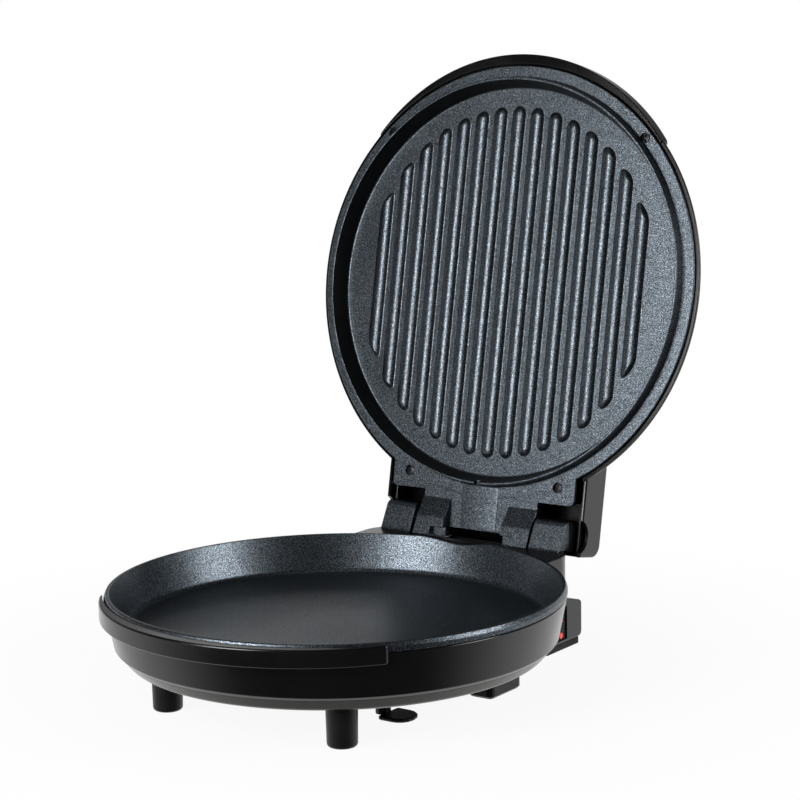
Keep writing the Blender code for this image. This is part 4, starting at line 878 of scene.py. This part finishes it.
def make_plate(finish, wall_shade_finish):
    """The dish with its lip and flange, and the wing and tongue on the hinge side."""
    back = FLANGE_LEVEL - FLANGE_SHEET
    dish = lathe("grill_dish", rounded([
        (0, 0),
        (PLATE_FLOOR_RADIUS, 0, PLATE_FILLET),
        (LIP_RADIUS, LIP_HEIGHT, LIP_ROUND),
        (LIP_RADIUS + LIP_WIDTH, LIP_HEIGHT, LIP_ROUND),
        (LIP_RADIUS + LIP_WIDTH + LIP_FOOT, FLANGE_LEVEL, LIP_FOOT),
        (FLANGE_RADIUS, FLANGE_LEVEL, LIP_FOOT),
        (FLANGE_RADIUS, back),
        (LIP_RADIUS + LIP_WIDTH, back),
        (PLATE_FLOOR_RADIUS + PLATE_WALL, -PLATE_WALL),
        (0, -PLATE_WALL),
    ]), LID)
    carve(dish, block("lip_notch", (-LIP_NOTCH / 2, -LIP_RADIUS - LIP_WIDTH * 2, LIP_HEIGHT - LIP_NOTCH),
                      (LIP_NOTCH / 2, -LIP_RADIUS + LIP_WIDTH, LIP_HEIGHT + LIP_NOTCH), LID))
    wing = tab("plate_wing", TAB_HALF, TAB_START, TAB_END, TAB_CORNER,
               back + THIN / 2, FLANGE_LEVEL - THIN / 2)
    soften(wing, TAB_BEVEL)
    carve(wing, rod("recess", LIP_RADIUS + LIP_WIDTH / 2, (0, 0, -FAR), (0, 0, FAR), LID, ROUND))
    tongue = tab("tongue", TONGUE_HALF, TONGUE_START, TONGUE_END, TONGUE_CORNER,
                 back + THIN, FLANGE_LEVEL - THIN)
    unite(wing, tongue)
    floor = FLANGE_LEVEL - COUNTERBORE_DEPTH
    for u, v in SCREWS.values():
        for piece in (dish, wing):
            carve(piece, rod("counterbore", COUNTERBORE_RADIUS, (u, v, floor), (u, v, FAR), LID))
    dress(dish, finish, "lid", "upper_plate")
    paint_wall_shade(dish, wall_shade_finish)
    dress(wing, finish, "lid")
    make_centre_band(finish)


def make_centre_band(finish):
    """The slightly crowned band in the middle of the tongue."""
    back = FLANGE_LEVEL - FLANGE_SHEET
    crown = (CENTRE_BAND_HALF ** 2 + CENTRE_BAND_CROWN ** 2) / (2 * CENTRE_BAND_CROWN)
    level = FLANGE_LEVEL + CENTRE_BAND_RAISE + CENTRE_BAND_CROWN
    turn = math.degrees(math.asin(CENTRE_BAND_HALF / crown))
    outline = [Vector((-CENTRE_BAND_HALF, back)), Vector((CENTRE_BAND_HALF, back))]
    outline += arc((0, level - crown), crown, 90 - turn, 90 + turn, 24)
    band = prism("centre_band", outline, -CENTRE_BAND_END, -CENTRE_BAND_START, LID, across="Y")
    dress(soften(band, CENTRE_BAND_BEVEL), finish, "lid")


def make_lugs(finish):
    for side, word in ((1, "right"), (-1, "left")):
        first, second = sorted((side * LUG_INNER, side * LUG_OUTER))
        lug = prism(f"lug_{word}", lug_outline(), first, second, LID, across="X")
        near, far = sorted((side * LUG_NOTCH_START, side * LUG_NOTCH_END))
        carve(lug, block("notch", (near, -LUG_END - FAR, LUG_NOTCH_FLOOR), (far, -LUG_NOTCH, FAR), LID))
        dress(soften(lug, LUG_BEVEL), finish, "lid")


def make_screws(finish):
    """Pan-headed screws with cross recesses, each turned another way."""
    top = FLANGE_LEVEL - SCREW_SINK
    under = top - SCREW_HEAD
    for word, (u, v) in SCREWS.items():
        place = LID @ Matrix.Translation((u, v, 0)) @ Matrix.Rotation(u * v * SCREW_TURN, 4, "Z")
        screw = lathe(f"pan_head_{word}", rounded([
            (0, top + SCREW_CROWN),
            (SCREW_HEAD_RADIUS, top - SCREW_BROW, SCREW_ROUND),
            (SCREW_HEAD_RADIUS, under),
            (SCREW_SHANK_RADIUS, under),
            (SCREW_SHANK_RADIUS, under - SCREW_LENGTH),
            (0, under - SCREW_LENGTH),
        ]), place, SMALL_ROUND)
        for wide, long in ((CROSS_REACH, CROSS_WIDTH / 2), (CROSS_WIDTH / 2, CROSS_REACH)):
            carve(screw, block("cross", (-wide, -long, top - CROSS_DEPTH), (wide, long, FAR), place))
        dress(screw, finish, "lid", f"plate_screw_{word}")


def shell_profile(inset):
    """The lid bowl's outside, or with an inset the cutter that hollows it."""
    top = SHELL_LEVEL + (FAR if inset else 0)
    edge = SHELL_RADIUS - (SHELL_EDGE if inset else 0)
    shoulder, brow, crown = SHELL_PROFILE
    return rounded([
        (0, top),
        (edge, top, 0 if inset else SHELL_EDGE_ROUND),
        (edge, SHELL_LEVEL - SHELL_EDGE, 0 if inset else SHELL_EDGE),
        (shoulder[0] - inset, shoulder[1] + inset / 2, SHELL_SOFTNESS),
        (brow[0] - inset, brow[1] + inset, SHELL_SOFTNESS),
        (crown[0], crown[1] + inset, SHELL_SOFTNESS * 2),
        (0, -SHELL_DEPTH + inset),
    ], steps=10)


def hood_outline(inset):
    """The hood's side view, or with an inset the side view of its hollow."""
    level = HOOD_LEVEL + (FAR if inset else 0)
    return rounded([
        (-HOOD_START, level),
        (-HOOD_START, -HOOD_DEPTH + inset),
        (-HOOD_END + inset, -HOOD_DEPTH + inset, HOOD_CORNER - inset),
        (-HOOD_END + inset, level),
    ], steps=10, closed=True)


def make_shell(finish):
    """The lid's bowl with its hood over the hinge, hollowed and open towards the back."""
    shell = lathe("lid_bowl", shell_profile(0), LID)
    half = HOOD_HALF_WIDTH
    hood = prism("hood", hood_outline(0), -half, half, LID, across="X")
    unite(shell, soften(hood, HOOD_BEVEL, segments=4))
    carve(shell, lathe("hollow", shell_profile(SHELL_WALL), LID))
    inner = half - SHELL_WALL
    carve(shell, prism("hood_hollow", hood_outline(SHELL_WALL), -inner, inner, LID, across="X"))
    carve(shell, block("hood_mouth", (-inner, -HOOD_END - FAR, -HOOD_LEVEL),
                       (inner, -HOOD_END + SHELL_WALL * 2, FAR), LID))
    axis = (-HINGE_BACK, HOOD_SCALLOP_LEVEL)
    carve(shell, rod("scallop", HOOD_SCALLOP, (-half - FAR, *axis), (half + FAR, *axis), LID))
    dress(shell, finish, "lid", "lid_shell")
    make_hood_ribs(finish)


def make_hood_ribs(finish):
    """Two ribs on each side inside the hood, one across it and one along its side."""
    low = -HOOD_DEPTH + SHELL_WALL / 2
    side_wall = HOOD_HALF_WIDTH - SHELL_WALL / 2
    for side, word in ((1, "right"), (-1, "left")):
        first, second = sorted((side * EAR_INNER, side * side_wall))
        cross = block(f"cross_rib_{word}", (first, -HOOD_RIB_V - HOOD_RIB, low),
                      (second, -HOOD_RIB_V, HOOD_LEVEL), LID)
        dress(soften(cross, HOOD_RIB_BEVEL, segments=2), finish, "lid")
        first, second = sorted((side * HOOD_RIB_U, side * (HOOD_RIB_U + HOOD_RIB)))
        rise = block(f"side_rib_{word}", (first, -HOOD_END + SHELL_WALL, low),
                     (second, -HOOD_RIB_V, -HOOD_LEVEL), LID)
        dress(soften(rise, HOOD_RIB_BEVEL, segments=2), finish, "lid")


def make_lid_grip(finish):
    outline = crescent(FLANGE_RADIUS + LID_GRIP_CLEARANCE, SHELL_RADIUS - THIN, LID_GRIP_BULGE)
    grip = prism("lid_grip", [(x, -y) for x, y in outline], -LID_GRIP_DEPTH, LID_GRIP_LEVEL, LID)
    dress(soften(grip, GRIP_BEVEL, segments=4), finish, "lid")


# Stage

def paint_nodes(finishes):
    """Give the plain nodes that stay in view their finish by record slot."""
    slots = {part["node"]: part["material_slot"] for part in frame["record"]["subparts"]}
    for name, item in frame["nodes"].items():
        item.data.materials.clear()
        item.data.materials.append(finishes[slots[name]])


def front_way():
    """The level way from the object towards the camera."""
    azimuth = math.radians(CAMERA_AZIMUTH)
    return (math.sin(azimuth), -math.cos(azimuth), 0)


def make_floor():
    """A pale floor that keeps the object's shadow and turns white where it leaves the object."""
    pale = Finish("pale floor")
    mottle = pale.noise(0.4, 2.0)
    pale.set(Base_Color=pale.mix(mottle, colour(0.90, 0.90, 0.90), colour(0.93, 0.93, 0.93)),
             Roughness=0.9, Specular_IOR_Level=0.0)
    away = pale.node("ShaderNodeVectorMath", {"operation": "LENGTH"}, {0: pale.place()}, "Value")
    mirrored = pale.ray("Is Glossy Ray", "Is Transmission Ray")
    back = pale.node("ShaderNodeNewGeometry", output="Incoming")
    rise = pale.along(back, (0, 0, 1))
    level = pale.node("ShaderNodeMath", {"operation": "SQRT"}, {0: 1 - rise * rise})
    facing = pale.along(back, front_way()) / level
    front = pale.between(facing, MIRROR_BACK, FLOOR_MIRROR_FRONT, 1.0, 0.0)
    share = pale.ray("Is Camera Ray") * pale.between(away, SHADOW_NEAR, SHADOW_FAR, SHADOW_WHITE, 1.0)
    shine = 1 - mirrored * front * FLOOR_MIRROR_DIMMING
    white = pale.node("ShaderNodeEmission", {}, {"Color": colour(1, 1, 1), "Strength": shine})
    share = share.math("MAXIMUM", share, mirrored)
    plain = Signal(pale, pale.shader.outputs[0])
    shown = pale.node("ShaderNodeMixShader", {}, {0: share, 1: plain, 2: white})
    pale.feed(pale.tree.nodes["Material Output"].inputs["Surface"], shown)
    low = (-FLOOR_REACH, -FLOOR_REACH, -FLOOR_SHEET)
    floor = block("floor", low, (FLOOR_REACH, FLOOR_REACH, 0), Matrix.Identity(4))
    floor.data.materials.append(pale.material)


def make_world():
    """White where the camera looks, white all round behind the object in reflections, and a soft fill."""
    world = bpy.data.worlds.new("studio")
    world.use_nodes = True
    bpy.context.scene.world = world
    sky = Nodes(world.node_tree)
    way = sky.place("Generated")
    behind = sky.between(sky.along(way, front_way()), MIRROR_BACK, SKY_MIRROR_FRONT, 1.0, SKY_MIRROR_LEAST)
    low = sky.between(sky.along(way, (0, 0, 1)), SKY_LOW, SKY_HIGH, 1.0, SKY_TOP)
    camera = sky.ray("Is Camera Ray")
    mirrored = sky.ray("Is Glossy Ray", "Is Transmission Ray")
    shine = camera + (1 - camera) * (mirrored * behind * low + (1 - mirrored) * SKY_FILL)
    sky.feed(world.node_tree.nodes["Background"].inputs["Color"], colour(1, 1, 1))
    sky.feed(world.node_tree.nodes["Background"].inputs["Strength"], shine)


def make_lamp(name, place, aim, size, power):
    """A soft rectangular lamp that faces its aim, with its power in watts."""
    light = bpy.data.lights.new(name, "AREA")
    light.shape = "RECTANGLE"
    light.size, light.size_y = size
    light.energy = power
    item = bpy.data.objects.new(name, light)
    bpy.context.scene.collection.objects.link(item)
    item.location = place
    item.rotation_euler = (aim - place).to_track_quat("-Z", "Y").to_euler()


def make_camera():
    azimuth = math.radians(CAMERA_AZIMUTH)
    elevation = math.radians(CAMERA_ELEVATION)
    back = Vector((math.sin(azimuth) * math.cos(elevation),
                   -math.cos(azimuth) * math.cos(elevation), math.sin(elevation)))
    level = Vector((math.cos(azimuth), math.sin(azimuth), 0))
    turn = Matrix.Rotation(math.radians(CAMERA_ROLL), 3, back)
    right = turn @ level
    up = turn @ back.cross(level)
    data = bpy.data.cameras.new("camera")
    data.lens = LENS
    data.sensor_width = SENSOR
    data.clip_end = CAMERA_CLIP
    camera = bpy.data.objects.new("camera", data)
    bpy.context.scene.collection.objects.link(camera)
    rotation = Matrix((right, up, back)).transposed().to_4x4()
    camera.matrix_world = Matrix.Translation(BASE @ CAMERA_TARGET + back * CAMERA_DISTANCE) @ rotation
    bpy.context.scene.camera = camera


def around(azimuth, elevation, distance):
    """A place round the lid, with the azimuth from -Y towards +X."""
    turn = math.radians(azimuth)
    rise = math.radians(elevation)
    way = Vector((math.sin(turn) * math.cos(rise), -math.cos(turn) * math.cos(rise), math.sin(rise)))
    return LAMP_CENTRE + way * distance


def make_studio():
    make_floor()
    make_world()
    for name, (azimuth, elevation, distance, aim, size, power) in LAMPS.items():
        make_lamp(name, around(azimuth, elevation, distance), aim, size, power)


coating = speckled_coating()
gloss = gloss_black()
matt = matt_black()
bronze = bronze_paint()
finishes = {
    "speckled_coating": coating,
    "black_plastic": gloss,
    "matt_black_plastic": matt,
    "bronze_cover": bronze,
    "steel": plain_steel("plain steel", (0.56, 0.56, 0.57), 0.34),
    "aluminium_sheet": plain_steel("aluminium sheet", (0.72, 0.72, 0.73), 0.4),
    "ceramic": ceramic(),
    "red_lens": red_lens(),
    "rubber": soft_rubber(),
}
paint_nodes(finishes)
make_camera()
make_pan(coating)
make_housing(gloss)
make_deck(gloss)
make_ears(coating, gloss)
make_cover(bronze)
make_feet(matt)
make_ribs(coating)
# The plate's recess wall takes the painted shade coating.
make_plate(coating, painted_shade_coating())
make_lugs(coating)
make_screws(black_screw())
make_shell(gloss)
make_lid_grip(gloss)
make_studio()

bpy.context.scene.view_settings.view_transform = "Standard"
bpy.context.view_layer.update()
